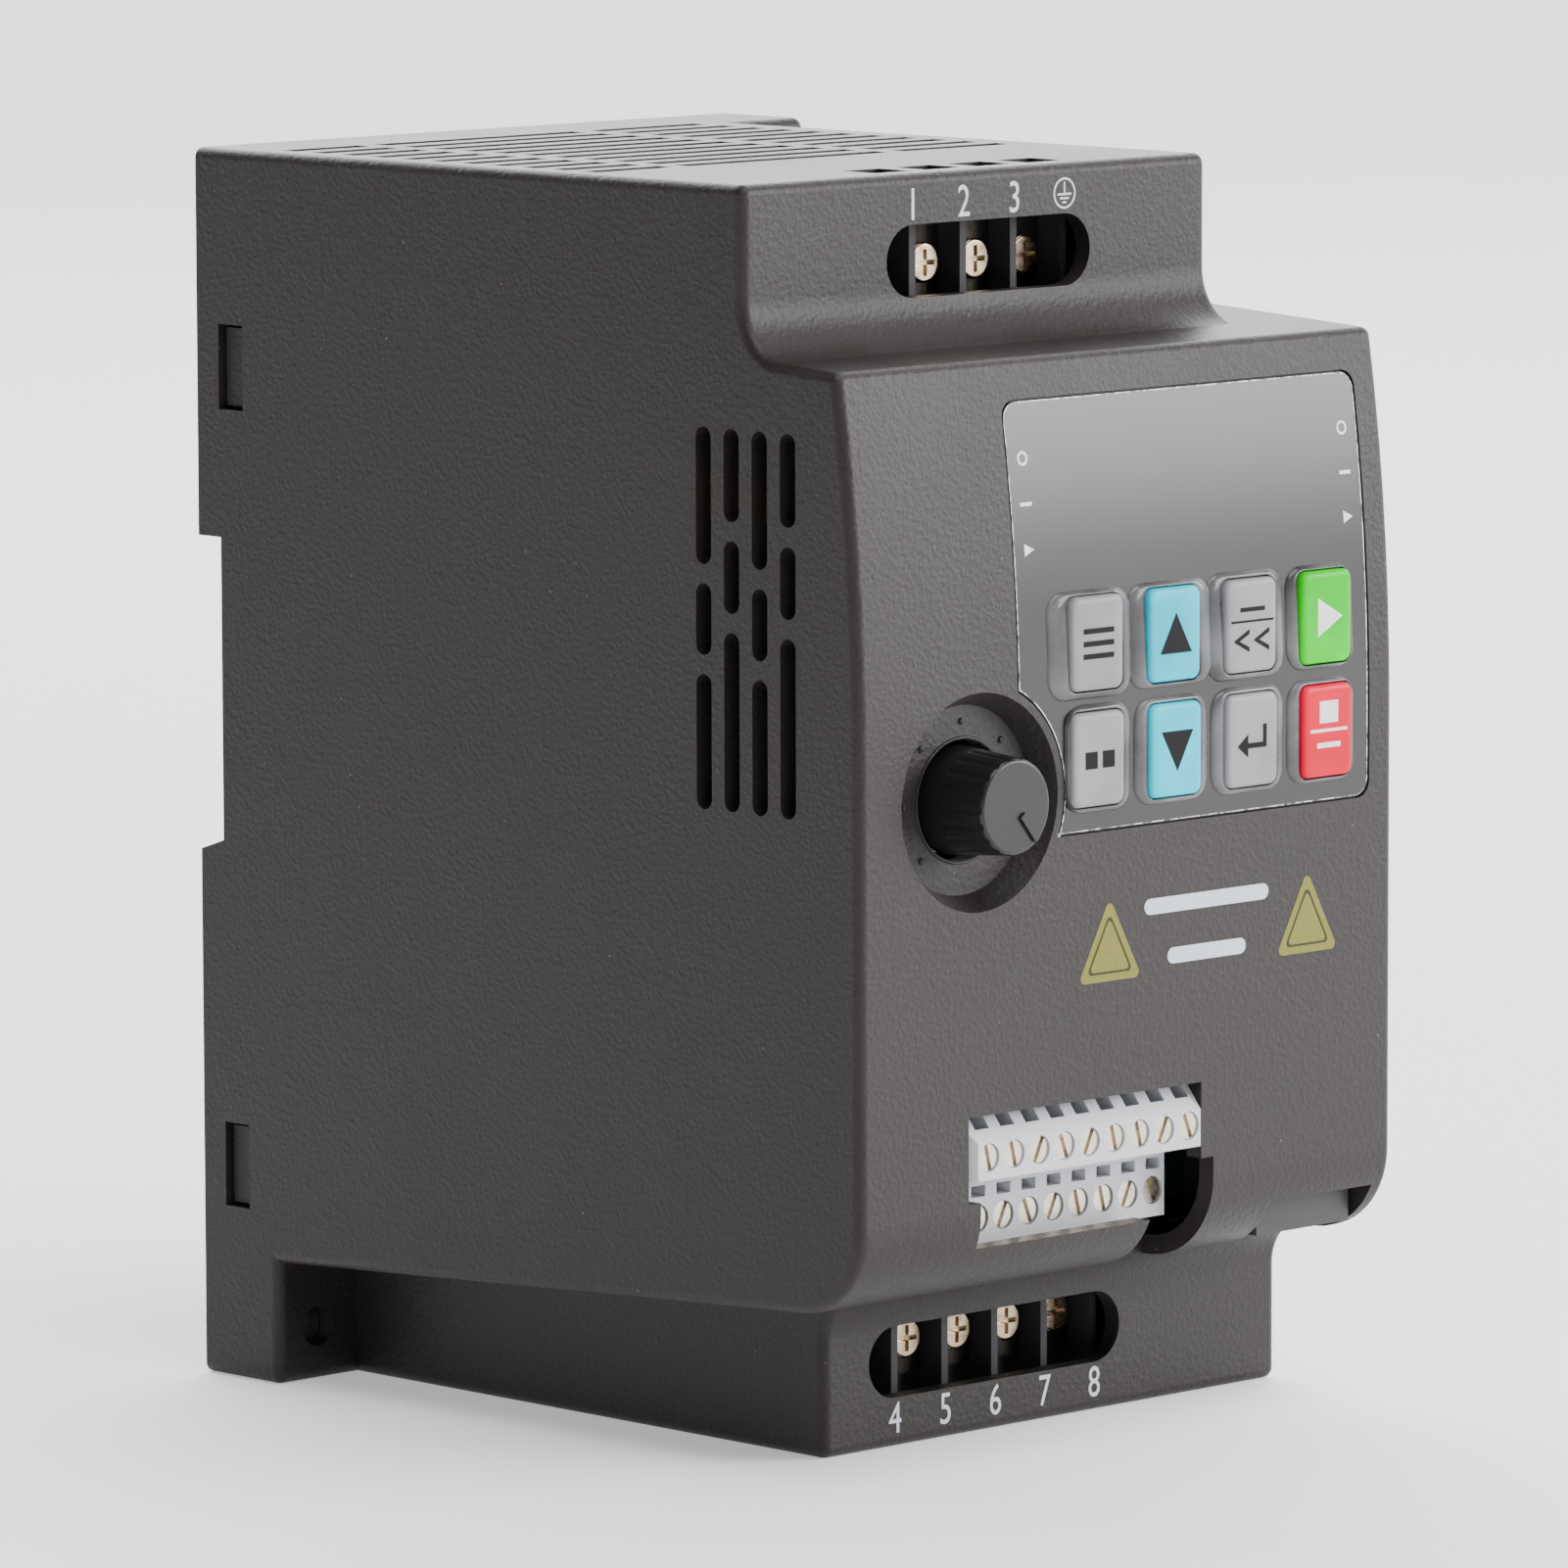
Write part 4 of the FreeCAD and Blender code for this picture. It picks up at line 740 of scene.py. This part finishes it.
@dataclass
class Housing:
    """The moulded case, its base and the marks printed and moulded on it."""

    step_depth: float = 18 * MM
    bow_radius: float = 255 * MM
    bow_start: float = 80 * MM
    ink: float = 0.03 * MM
    figure_height: float = 3.5 * MM
    figure_inset: float = 3.4 * MM
    triangle_width: float = 10.2 * MM
    triangle_height: float = 8.8 * MM
    triangle_base: float = 52.7 * MM
    triangle_round: float = 0.7 * MM
    triangle_shoulder: float = 1.6
    triangle_shrink: float = 2.2
    triangle_tightening: float = 0.9
    triangle_corner_parts: int = 6
    triangle_places: Span = (-3.7 * MM, 28.2 * MM)
    line_inset: float = 1.1 * MM
    line_width: float = 0.32 * MM
    bar_offset: float = 0.4 * MM
    bar_half: float = 0.9 * MM
    bars: Sequence[Span] = ((60.4 * MM, 10.0 * MM), (54.6 * MM, 6.3 * MM))
    input_poles: int = 4
    output_poles: int = 5
    earth_line: float = 0.13
    earth_stem: float = 0.72
    earth_bars: Sequence[float] = (0.62, 0.4, 0.18)
    earth_step: float = 0.26
    recess_depth: float = 3.0 * MM
    dot_count: int = 7
    dot_first_angle: float = 225.0
    dot_step_angle: float = 45.0
    dot_circle: float = 8.7 * MM
    dot_radius: float = 0.42 * MM
    dot_height: float = 0.3 * MM
    dot_sink: float = 0.02 * MM
    dot_lean: float = 80.0
    dot_layers: int = 4
    dot_parts: int = 16
    collar_parts: int = 72
    collar: Sequence[Point] = ((6.75, -0.5), (6.75, 0.12), (6.82, 0.2), (6.98, 0.2), (7.06, 0.12),
                               (7.1, -0.02))
    front: float = field(init=False)
    top: float = field(init=False)

    def __post_init__(self) -> None:
        """Read the case's place from the frame."""
        low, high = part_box("housing")
        self.front = low.y
        self.top = high.z

    def bow(self, z: float) -> float:
        """Depth of the bowed front at a height."""
        rise = max(0.0, z - self.bow_start)
        return self.bow_radius - math.sqrt(self.bow_radius ** 2 - rise ** 2)

    def on_front(self, x: float, z: float, out: float) -> Vector:
        """A point that stands out of the bowed front."""
        return Vector((x, self.front + self.bow(z) - out, z))

    def on_step(self, x: float, z: float, out: float) -> Vector:
        """A point that stands out of the terminal steps."""
        return Vector((x, self.front + self.step_depth - out, z))

    def on_recess(self, x: float, z: float, out: float) -> Vector:
        """A point that stands out of the knob recess's floor."""
        return Vector((x, self.front + self.recess_depth - out, z))

    def dress_parts(self) -> None:
        """Finish the case, the base and what fastens them."""
        dress(Finishes.HOUSING, "housing")
        dress(Finishes.BASE, "rear_base")
        dress(Finishes.LATCH, "din_latch")
        dress(Finishes.STEEL, "heatsink_screws")

    def earth_symbol(self, sheet: Sheet, cx: float, cz: float) -> None:
        """Draw the protective earth symbol: a ring, a stem and three bars.

        Args:
            sheet: The sheet it is drawn on.
            cx, cz: Its middle.
        """
        r = self.figure_height / 2
        line = self.earth_line * r
        sheet.ring(cx, cz, r, r - line, 0.0, self.ink)
        stem = rounded_ring(cx - line / 2, cx + line / 2, cz, cz + r * self.earth_stem, 0.0)
        sheet.polygon(stem, 0.0, self.ink)
        for i, reach in enumerate(self.earth_bars):
            z = cz - i * self.earth_step * r
            sheet.polygon(rounded_ring(cx - reach * r, cx + reach * r, z - line, z, 0.0), 0.0, self.ink)

    def terminal_marks(self) -> None:
        """Number the power terminals above and below their windows."""
        sheet = Sheet(self.on_step)
        *supply, earth = row_places("input_terminal_screws", self.input_poles)
        supply_z = self.top - self.figure_inset
        places = [(x, supply_z) for x in supply]
        motor = row_places("output_terminal_screws", self.output_poles)
        places += [(x, self.figure_inset) for x in motor]
        for number, (x, z) in enumerate(places, 1):
            if number == self.input_poles:
                self.earth_symbol(sheet, earth, supply_z)
            sheet.digits(str(number), x, z, self.figure_height, 0.0, self.ink)
        sheet.piece("terminal_numbers", Finishes.INK_PALE, "drive", FLAT_PRINT)

    def triangle(self, cx: float, inset: float) -> List[Point]:
        """Outline a triangle with rounded corners, standing on its base.

        Args:
            cx: Its middle.
            inset: How far it is drawn inwards.

        Returns:
            The outline's points.
        """
        half = self.triangle_width / 2 - self.triangle_round * self.triangle_shoulder
        base = self.triangle_base + self.triangle_round
        tip = self.triangle_base + self.triangle_height - self.triangle_round
        shrink = 1.0 - self.triangle_shrink * inset / self.triangle_height
        centre_z = base + (tip - base) / 3
        points = []
        for px, pz, start in ((cx + half, base, -90), (cx, tip, 30), (cx - half, base, 150)):
            px, pz = cx + (px - cx) * shrink, centre_z + (pz - centre_z) * shrink
            r = self.triangle_round * shrink * self.triangle_tightening
            for i in range(self.triangle_corner_parts + 1):
                angle = math.radians(start + 120 * i / self.triangle_corner_parts)
                points.append((px + r * math.cos(angle), pz + r * math.sin(angle)))
        return points

    def front_marks(self) -> None:
        """Print two plain triangles with two plain bars between them."""
        triangles = Sheet(self.on_front)
        lines = Sheet(self.on_front)
        outer, inner = self.line_inset, self.line_inset + self.line_width
        for cx in self.triangle_places:
            triangles.polygon(self.triangle(cx, 0.0), 0.0, self.ink)
            profile = ((outer, 0.0), (outer, 2 * self.ink), (inner, 2 * self.ink), (inner, 0.0))
            lines.loft([(self.triangle(cx, inset), out) for inset, out in profile], closed=True)
        triangles.piece("front_triangles", Finishes.INK_OLIVE, "drive", FLAT_PRINT)
        lines.piece("triangle_lines", Finishes.INK_DARK_OLIVE, "drive", FLAT_PRINT)
        bars = Sheet(self.on_front)
        middle = sum(self.triangle_places) / 2 - self.bar_offset
        half = self.bar_half
        for z, reach in self.bars:
            outline = rounded_ring(middle - reach, middle + reach, z - half, z + half, half)
            bars.polygon(outline, 0.0, self.ink)
        bars.piece("front_bars", Finishes.INK_PALE, "drive", FLAT_PRINT)

    def scale_dots(self) -> None:
        """Mould the scale dots round the knob."""
        cx, cz = middle_of("speed_knob")
        dots = Sheet(self.on_recess)
        for i in range(self.dot_count):
            angle = math.radians(self.dot_first_angle - self.dot_step_angle * i)
            px, pz = cx + self.dot_circle * math.cos(angle), cz + self.dot_circle * math.sin(angle)
            rings = []
            for step in range(self.dot_layers + 1):
                lean = math.radians(self.dot_lean * step / self.dot_layers)
                ring = circle(px, pz, self.dot_radius * math.cos(lean), self.dot_parts)
                rings.append((ring, self.dot_height * math.sin(lean) - self.dot_sink))
            dots.loft(rings)
        dots.piece("speed_scale_dots", Finishes.LATCH, "drive", 60.0)

    def hole_collar(self) -> None:
        """Mould the collar round the knob's hole."""
        cx, cz = middle_of("speed_knob")
        collar = Sheet(self.on_recess)
        rings = [(circle(cx, cz, radius * MM, self.collar_parts), out * MM) for radius, out in self.collar]
        collar.loft(rings, closed=True)
        collar.piece("knob_hole_collar", Finishes.HOUSING, "drive", 50.0)

    def build(self) -> None:
        """Finish the case and add its marks."""
        self.dress_parts()
        self.terminal_marks()
        self.front_marks()
        self.scale_dots()
        self.hole_collar()


# Keypad


class Mark(Enum):
    """Plain pictograms for the keys, drawn about the key's middle in millimetres."""

    MENU = (((-2.4, 1.1), (2.4, 1.1), (2.4, 1.7), (-2.4, 1.7)),
            ((-2.4, -0.3), (2.4, -0.3), (2.4, 0.3), (-2.4, 0.3)),
            ((-2.4, -1.7), (2.4, -1.7), (2.4, -1.1), (-2.4, -1.1)))
    UP = (((-2.5, -2.1), (2.5, -2.1), (0.0, 2.4)),)
    SHIFT = (((-3.4, 0.4), (3.4, 0.4), (3.4, 0.65), (-3.4, 0.65)),
             ((-0.5, -0.9), (-0.5, -0.35), (-2.9, -1.55), (-2.9, -1.75), (-0.5, -2.95), (-0.5, -2.4),
              (-2.1, -1.65)),
             ((2.7, -0.9), (2.7, -0.35), (0.3, -1.55), (0.3, -1.75), (2.7, -2.95), (2.7, -2.4),
              (1.1, -1.65)),
             ((-2.0, 1.6), (2.0, 1.6), (2.0, 2.1), (-2.0, 2.1)))
    RUN = (((-1.6, -2.2), (2.4, 0.0), (-1.6, 2.2)),)
    FUNCTION = (((-2.3, -1.0), (-0.4, -1.0), (-0.4, 0.9), (-2.3, 0.9)),
                ((0.4, -1.0), (2.3, -1.0), (2.3, 0.9), (0.4, 0.9)))
    DOWN = (((-2.5, 2.1), (0.0, -2.4), (2.5, 2.1)),)
    ENTER = (((-2.6, -0.6), (-0.9, -1.9), (-0.9, -0.9), (2.1, -0.9), (2.1, 1.7), (1.5, 1.7), (1.5, -0.3),
              (-0.9, -0.3), (-0.9, 0.7)),)
    STOP = (((-1.5, 0.9), (1.5, 0.9), (1.5, 3.4), (-1.5, 3.4)),
            ((-3.0, -0.1), (3.0, -0.1), (3.0, 0.25), (-3.0, 0.25)),
            ((-1.9, -1.9), (1.9, -1.9), (1.9, -1.3), (-1.9, -1.3)))


@dataclass
class Key:
    """One key: a domed cap under film, its printed mark and the raised skirt round it."""

    node: str
    mark: Mark
    cap: Finishes
    ink: Finishes
    skirt: Tuple[float, float, float, float]

    @property
    def body(self) -> str:
        """The CAD body that the key moves with."""
        return self.node.replace("_key", "_button")

    @property
    def slot(self) -> str:
        """Its cap finish's name in lower case."""
        return self.cap.name.lower()


@dataclass
class Keypad:
    """The overlay film, keys, skirts and small marks."""

    housing: Housing
    key_width: float = 8.2 * MM
    key_height: float = 10.5 * MM
    corner: float = 1.1 * MM
    corner_taper: float = 0.4
    least_corner: float = 0.4 * MM
    cap_profile: Sequence[Point] = ((0.0, -3.4), (0.0, -0.62), (0.04, -0.42), (0.14, -0.26), (0.3, -0.14),
                                    (0.55, -0.075), (1.1, -0.05), (2.4, -0.035))
    mark_span: Span = (-0.06 * MM, -0.005 * MM)
    skirt_gap: float = 0.14 * MM
    skirt_profile: Sequence[Tuple[float, float, float]] = (
        (1.0, 2.6, -0.12), (1.0, 2.6, 0.03), (0.86, 2.4, 0.22), (0.62, 2.1, 0.4), (0.3, 1.6, 0.5),
        (0.06, 1.3, 0.54), (0.0, 1.2, 0.48), (0.0, 1.2, -0.12),
    )
    film_edge: float = 0.15 * MM
    edge_inset: float = 0.02 * MM
    edge_sink: float = 0.05 * MM
    edge_rise: float = 0.035 * MM
    notch_radius: float = 13.3 * MM
    notch_corner: float = 1.2 * MM
    notch_parts: int = 20
    overlay_round: float = 2.0 * MM
    overlay_corner_parts: int = 8
    long_edge: float = 4.0 * MM
    edge_parts: int = 14
    film_top: float = -0.1 * MM
    led_radius: float = 1.4 * MM
    sign_thick: float = 0.02 * MM
    sign_ring: Span = (0.8 * MM, 0.52 * MM)
    sign_bar: Span = (0.9 * MM, 0.2 * MM)
    sign_arrow: Span = (0.7 * MM, 0.8 * MM)
    keys: Sequence[Key] = (
        Key("menu_key", Mark.MENU, Finishes.KEY_GREY, Finishes.INK_BLACK, (2.9, 1.9, 0.8, 0.5)),
        Key("up_key", Mark.UP, Finishes.KEY_BLUE, Finishes.INK_BLACK, (2.6, 2.6, 0.5, 0.5)),
        Key("shift_key", Mark.SHIFT, Finishes.KEY_GREY, Finishes.INK_BLACK, (2.4, 1.9, 0.7, 0.7)),
        Key("run_key", Mark.RUN, Finishes.KEY_GREEN, Finishes.INK_WHITE, (1.6, 0.8, 0.5, 0.5)),
        Key("function_key", Mark.FUNCTION, Finishes.KEY_GREY, Finishes.INK_BLACK, (0.3, 1.6, 0.6, 0.7)),
        Key("down_key", Mark.DOWN, Finishes.KEY_BLUE, Finishes.INK_BLACK, (1.7, 1.6, 0.6, 0.6)),
        Key("enter_key", Mark.ENTER, Finishes.KEY_GREY, Finishes.INK_BLACK, (1.7, 1.6, 0.6, 0.6)),
        Key("stop_key", Mark.STOP, Finishes.KEY_RED, Finishes.INK_WHITE, (1.6, 0.8, 0.5, 0.5)),
    )

    def dress_parts(self) -> None:
        """Finish the film and the parts behind it."""
        dress(Finishes.OVERLAY, "keypad_overlay")
        dress(Finishes.DISPLAY, "display_module")
        dress(Finishes.LED, "indicator_leds")
        dress(Finishes.BOARD, "keypad_board")
        dress(Finishes.STEEL, "keypad_screws")
        dress(Finishes.RESIN, "tact_switches")

    def cap(self, key: Key) -> None:
        """Build a key's domed cap and print its mark.

        Args:
            key: The key.
        """
        cx, cz = middle_of(key.node)
        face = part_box(key.node)[0].y

        def on_key(x: float, z: float, out: float) -> Vector:
            """A point on the key's face, standing out from it."""
            return Vector((x, face - out, z))

        w, h = self.key_width / 2, self.key_height / 2
        sheet = Sheet(on_key)
        rings = []
        for inset, out in self.cap_profile:
            i = inset * MM
            corner = max(self.corner - i * self.corner_taper, self.least_corner)
            rings.append((rounded_ring(cx - w + i, cx + w - i, cz - h + i, cz + h - i, corner), out * MM))
        sheet.loft(rings)
        cap = sheet.piece(key.node + "_cap", key.cap, key.body, 75.0)
        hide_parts(key.node)
        print_sheet = Sheet(on_key)
        for outline in key.mark.value:
            points = [(cx + x * MM, cz + z * MM) for x, z in outline]
            print_sheet.polygon(points, *self.mark_span)
        print_sheet.piece(key.node + "_mark", key.ink, key.body, FLAT_PRINT)

    def skirt(self, key: Key, sheet: Sheet) -> None:
        """Emboss the film round a key.

        Args:
            key: The key.
            sheet: The sheet that holds all skirts.
        """
        cx, cz = middle_of(key.node)
        w, h = self.key_width / 2 + self.skirt_gap, self.key_height / 2 + self.skirt_gap
        left, right, down, up = (amount * MM for amount in key.skirt)

        def outline(share: float, radius: float) -> List[Point]:
            """A ring between the key's hole, at 0, and the skirt's foot, at 1."""
            return rounded_ring(cx - w - left * share, cx + w + right * share, cz - h - down * share,
                                cz + h + up * share, radius * MM)

        rings = []
        for share, radius, rise in self.skirt_profile:
            rings.append((outline(share, radius), self.film_top + rise * MM))
        sheet.loft(rings, closed=True)

    def film_outline(self, inset: float) -> List[Point]:
        """Outline the overlay: a rounded rectangle with a bite round the knob.

        Args:
            inset: How far the outline is drawn inwards.

        Returns:
            The outline's points.
        """
        low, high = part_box("keypad_overlay")
        kx, kz = middle_of("speed_knob")
        radius = self.notch_radius + inset
        x0, x1, z0, z1 = low.x + inset, high.x - inset, low.z + inset, high.z - inset
        corner_x = kx + self.notch_radius - self.notch_corner + inset
        steps = self.overlay_corner_parts
        whole = rounded_ring(x0, x1, z0, z1, self.overlay_round - inset, steps)[:3 * (steps + 1)]
        start = math.acos((x0 - kx) / radius)
        end = math.acos((corner_x - kx) / radius)
        bite = []
        for i in range(self.notch_parts + 1):
            angle = start - (start + end) * i / self.notch_parts
            bite.append((kx + radius * math.cos(angle), kz + radius * math.sin(angle)))
        corners = whole + bite + [(corner_x, z0)]
        points = []
        for (ax, az), (bx, bz) in zip(corners, corners[1:] + corners[:1]):
            count = self.edge_parts if math.hypot(bx - ax, bz - az) > self.long_edge else 1
            points.extend((ax + (bx - ax) * i / count, az + (bz - az) * i / count) for i in range(count))
        return points

    def cut_edge(self) -> None:
        """Show the film's ragged cut edge."""
        sheet = Sheet(self.housing.on_front)
        outer = self.film_outline(self.edge_inset)
        inner = self.film_outline(self.film_edge)
        low, high = self.film_top - self.edge_sink, self.film_top + self.edge_rise
        sheet.loft([(outer, low), (outer, high), (inner, high), (inner, low)], closed=True)
        sheet.piece("overlay_cut_edge", Finishes.CUT_EDGE, "drive", 20.0)

    def small_marks(self) -> None:
        """Print a small sign beside each indicator lamp."""
        low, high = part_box("indicator_leds")
        sheet = Sheet(self.housing.on_front)
        base = self.film_top
        top = base + self.sign_thick
        pitch = (high.z - low.z - 2 * self.led_radius) / 2
        for x in (low.x + self.led_radius, high.x - self.led_radius):
            z = high.z - self.led_radius
            sheet.ring(x, z, *self.sign_ring, base, top)
            w, h = self.sign_bar
            z -= pitch
            sheet.polygon(rounded_ring(x - w, x + w, z - h, z + h, 0.0), base, top)
            back, tip = self.sign_arrow
            z -= pitch
            sheet.polygon(((x - back, z - back), (x + tip, z), (x - back, z + back)), base, top)
        sheet.piece("indicator_marks", Finishes.INK_WHITE, "drive", FLAT_PRINT)

    def build(self) -> None:
        """Build the keypad."""
        self.dress_parts()
        skirts = Sheet(self.housing.on_front)
        for key in self.keys:
            self.cap(key)
            self.skirt(key, skirts)
        skirts.piece("key_skirts", Finishes.SKIRT, "drive", 70.0)
        self.cut_edge()
        self.small_marks()


# Knob, terminals and insides


@dataclass
class Knob:
    """The speed knob with its shaft and potentiometer."""

    def build(self) -> None:
        """Finish the knob's parts."""
        dress(Finishes.KNOB, "speed_knob")
        dress(Finishes.NYLON, "pot_shaft")
        dress(Finishes.STEEL, "potentiometer")


@dataclass
class Terminals:
    """Power and control terminals with their screws and wire cages."""

    cage_thick: float = 0.35 * MM
    cage_half_width: float = 1.0 * MM
    cage_half_height: float = 0.5 * MM
    cage_corner: float = 0.2 * MM
    cage_depth: float = 2.2 * MM
    cage_drop: float = 1.5 * MM
    poles: int = 8

    def cages(self) -> None:
        """Put a metal wire cage behind each entry of the lower deck."""
        low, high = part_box("control_terminal_lower")
        w, h = self.cage_half_width, self.cage_half_height

        def behind(x: float, z: float, out: float) -> Vector:
            """A point behind the deck's front face."""
            return Vector((x, low.y + self.cage_depth - out, z))

        sheet = Sheet(behind)
        z = high.z - self.cage_drop
        for x in row_places("lower_clamp_screws", self.poles):
            sheet.polygon(rounded_ring(x - w, x + w, z - h, z + h, self.cage_corner), 0.0, self.cage_thick)
        sheet.piece("lower_wire_cages", Finishes.STEEL, "drive", 20.0)

    def build(self) -> None:
        """Finish the terminals."""
        dress(Finishes.TERMINAL_BLACK, "input_terminal_block", "output_terminal_block")
        # The clamp plates take the near-black metal that paints in the shadow they lie in.
        dress(Finishes.DARK_PLATE, "input_clamp_plates", "output_clamp_plates")
        dress(Finishes.POWER_SCREW, "input_terminal_screws", "output_terminal_screws")
        dress(Finishes.NICKEL, "upper_clamp_screws", "lower_clamp_screws")
        dress(Finishes.TERMINAL_GREY, "control_terminal_upper", "control_terminal_lower")
        dress(Finishes.JACK, "comm_jack")
        self.cages()


@dataclass
class Insides:
    """Boards, power parts and cooling."""

    def build(self) -> None:
        """Finish what shows through the slits and windows."""
        dress(Finishes.ALUMINIUM, "heatsink")
        dress(Finishes.FAN, "fan_frame", "fan_rotor")
        dress(Finishes.BOARD, "control_board", "power_board")
        dress(Finishes.BRASS, "control_spacers", "power_spacers")
        dress(Finishes.STEEL, "control_board_screws")
        dress(Finishes.SLEEVE, "dc_capacitors")
        dress(Finishes.RESIN, "power_module", "rectifier_bridge", "control_processor", "board_link",
              "power_link")
        dress(Finishes.RELAY, "precharge_relay")
        dress(Finishes.FERRITE, "supply_transformer")
        dress(Finishes.COPPER, "filter_choke")


# Studio


@dataclass(frozen=True)
class Softbox:
    """An area light that faces the drive."""

    name: str
    azimuth: float
    elevation: float
    distance: float
    size: Tuple[float, float]
    power: float


@dataclass
class Studio:
    """Pale floor, soft light and the camera."""

    azimuth: float = -44.146
    elevation: float = 7.185
    roll: float = -0.159
    distance: float = 1.2401
    lens: float = 249.1
    sensor: float = 36.0
    near: float = 0.01
    target: Vector = field(default_factory=lambda: Vector((-0.00047, 0.00392, 0.06958)))
    boxes: Sequence[Softbox] = (
        Softbox("top_box", 0.0, 62.0, 1.3, (1.0, 1.0), 17.0),
        Softbox("front_box", 46.0, 15.5, 1.5, (1.1, 0.62), 30.0),
        Softbox("left_box", -100.0, 20.0, 1.8, (0.8, 1.2), 0.8),
        Softbox("back_box", 150.0, 38.0, 1.6, (1.6, 1.0), 16.0),
    )
    aim: Vector = field(default_factory=lambda: Vector((0.0, 0.0, 0.07)))
    room_level: float = 0.2
    wall_glow: float = 4.5
    floor_share: float = 0.1
    full_glow_height: float = 0.8
    wall_distance: float = 3.0
    wall_height: float = 4.0
    wall_bend: float = 1.2
    bend_parts: int = 16
    paper_front: Span = (-3.0, -1.0)
    paper_half: float = 4.0
    paper: Tuple[Colour, Colour] = ((0.88, 0.88, 0.88), (0.92, 0.92, 0.92))
    paper_cloud: float = 0.6
    paper_roughness: float = 0.95

    @staticmethod
    def direction(azimuth: float, elevation: float) -> Vector:
        """Find the way from the drive to a viewer.

        Args:
            azimuth: Degrees to the right of the keypad's side.
            elevation: Degrees above the floor.

        Returns:
            The way, one unit long.
        """
        a, e = math.radians(azimuth), math.radians(elevation)
        return Vector((math.sin(a) * math.cos(e), -math.cos(a) * math.cos(e), math.sin(e)))

    def camera(self) -> None:
        """Place the camera."""
        data = bpy.data.cameras.new("camera")
        data.sensor_width = self.sensor
        data.lens = self.lens
        data.clip_start = self.near
        holder = bpy.data.objects.new("camera", data)
        bpy.context.scene.collection.objects.link(holder)
        back = self.direction(self.azimuth, self.elevation)
        turn = back.to_track_quat("Z", "Y").to_matrix()
        holder.location = self.target + back * self.distance
        roll = Euler((0, 0, math.radians(self.roll))).to_matrix()
        holder.rotation_euler = (turn @ roll).to_euler()
        bpy.context.scene.camera = holder

    def lights(self) -> None:
        """Hang the softboxes."""
        for box in self.boxes:
            data = bpy.data.lights.new(box.name, "AREA")
            data.shape = "RECTANGLE"
            data.size, data.size_y = box.size
            data.energy = box.power
            holder = bpy.data.objects.new(box.name, data)
            way = self.direction(box.azimuth, box.elevation)
            holder.location = self.aim + way * box.distance
            holder.rotation_euler = way.to_track_quat("Z", "Y").to_euler()
            bpy.context.scene.collection.objects.link(holder)

    def sweep_profile(self) -> List[Point]:
        """Draw the side view of the paper sweep.

        Returns:
            Points, each how far behind the drive and how high.
        """
        bend = self.wall_bend
        start = self.wall_distance - bend
        points = [(self.paper_front[0], 0.0), (self.paper_front[1], 0.0), (start, 0.0)]
        for i in range(1, self.bend_parts + 1):
            angle = math.radians(90.0 * i / self.bend_parts)
            points.append((start + bend * math.sin(angle), bend - bend * math.cos(angle)))
        return points + [(self.wall_distance, self.wall_height)]

    def floor(self) -> None:
        """Lay the pale paper sweep, which runs up behind the drive."""
        away = -self.direction(self.azimuth, 0.0)
        along = Vector((away.y, -away.x, 0.0))
        bm = bmesh.new()
        rows = []
        sides = (-self.paper_half, 0.0, self.paper_half)
        for reach, rise in self.sweep_profile():
            rows.append([bm.verts.new(away * reach + along * side + Vector((0, 0, rise))) for side in sides])
        for low, high in zip(rows, rows[1:]):
            for i in range(2):
                bm.faces.new((low[i], low[i + 1], high[i + 1], high[i])).smooth = True
        bmesh.ops.recalc_face_normals(bm, faces=bm.faces)
        mesh = bpy.data.meshes.new("paper_sweep")
        bm.to_mesh(mesh)
        bm.free()
        g = Graph("sweep_paper")
        cloud = g.noise(self.paper_cloud, 2.0)
        inputs = {"Base Color": g.mix(cloud, *self.paper), "Roughness": self.paper_roughness,
                  "Emission Color": self.glow(g), "Emission Strength": self.wall_glow}
        mesh.materials.append(g.finish(inputs))
        sweep = bpy.data.objects.new("paper_sweep", mesh)
        bpy.context.scene.collection.objects.link(sweep)

    def glow(self, g: Graph) -> Sock:
        """The sweep's own light: faint on the floor, full on the wall."""
        height = g.node("ShaderNodeSeparateXYZ", None, {"Vector": g.place()}, out="Z")
        return g.ramp(height, (0.0, self.floor_share), (self.full_glow_height, 1.0))

    def world(self) -> None:
        """Fill the room with even pale light."""
        world = bpy.data.worlds.new("room")
        world.use_nodes = True
        background = world.node_tree.nodes["Background"]
        background.inputs["Color"].default_value = (1.0, 1.0, 1.0, 1.0)
        background.inputs["Strength"].default_value = self.room_level
        bpy.context.scene.world = world

    def build(self) -> None:
        """Set up the studio."""
        self.world()
        self.floor()
        self.lights()
        self.camera()


def main() -> None:
    """Build the drive and the studio."""
    logging.basicConfig(level=logging.INFO, format="%(name)s: %(message)s")
    housing = Housing()
    for part in (Studio(), housing, Keypad(housing), Knob(), Terminals(), Insides()):
        log.info("building %s", type(part).__name__)
        part.build()


if __name__ == "__main__":
    main()
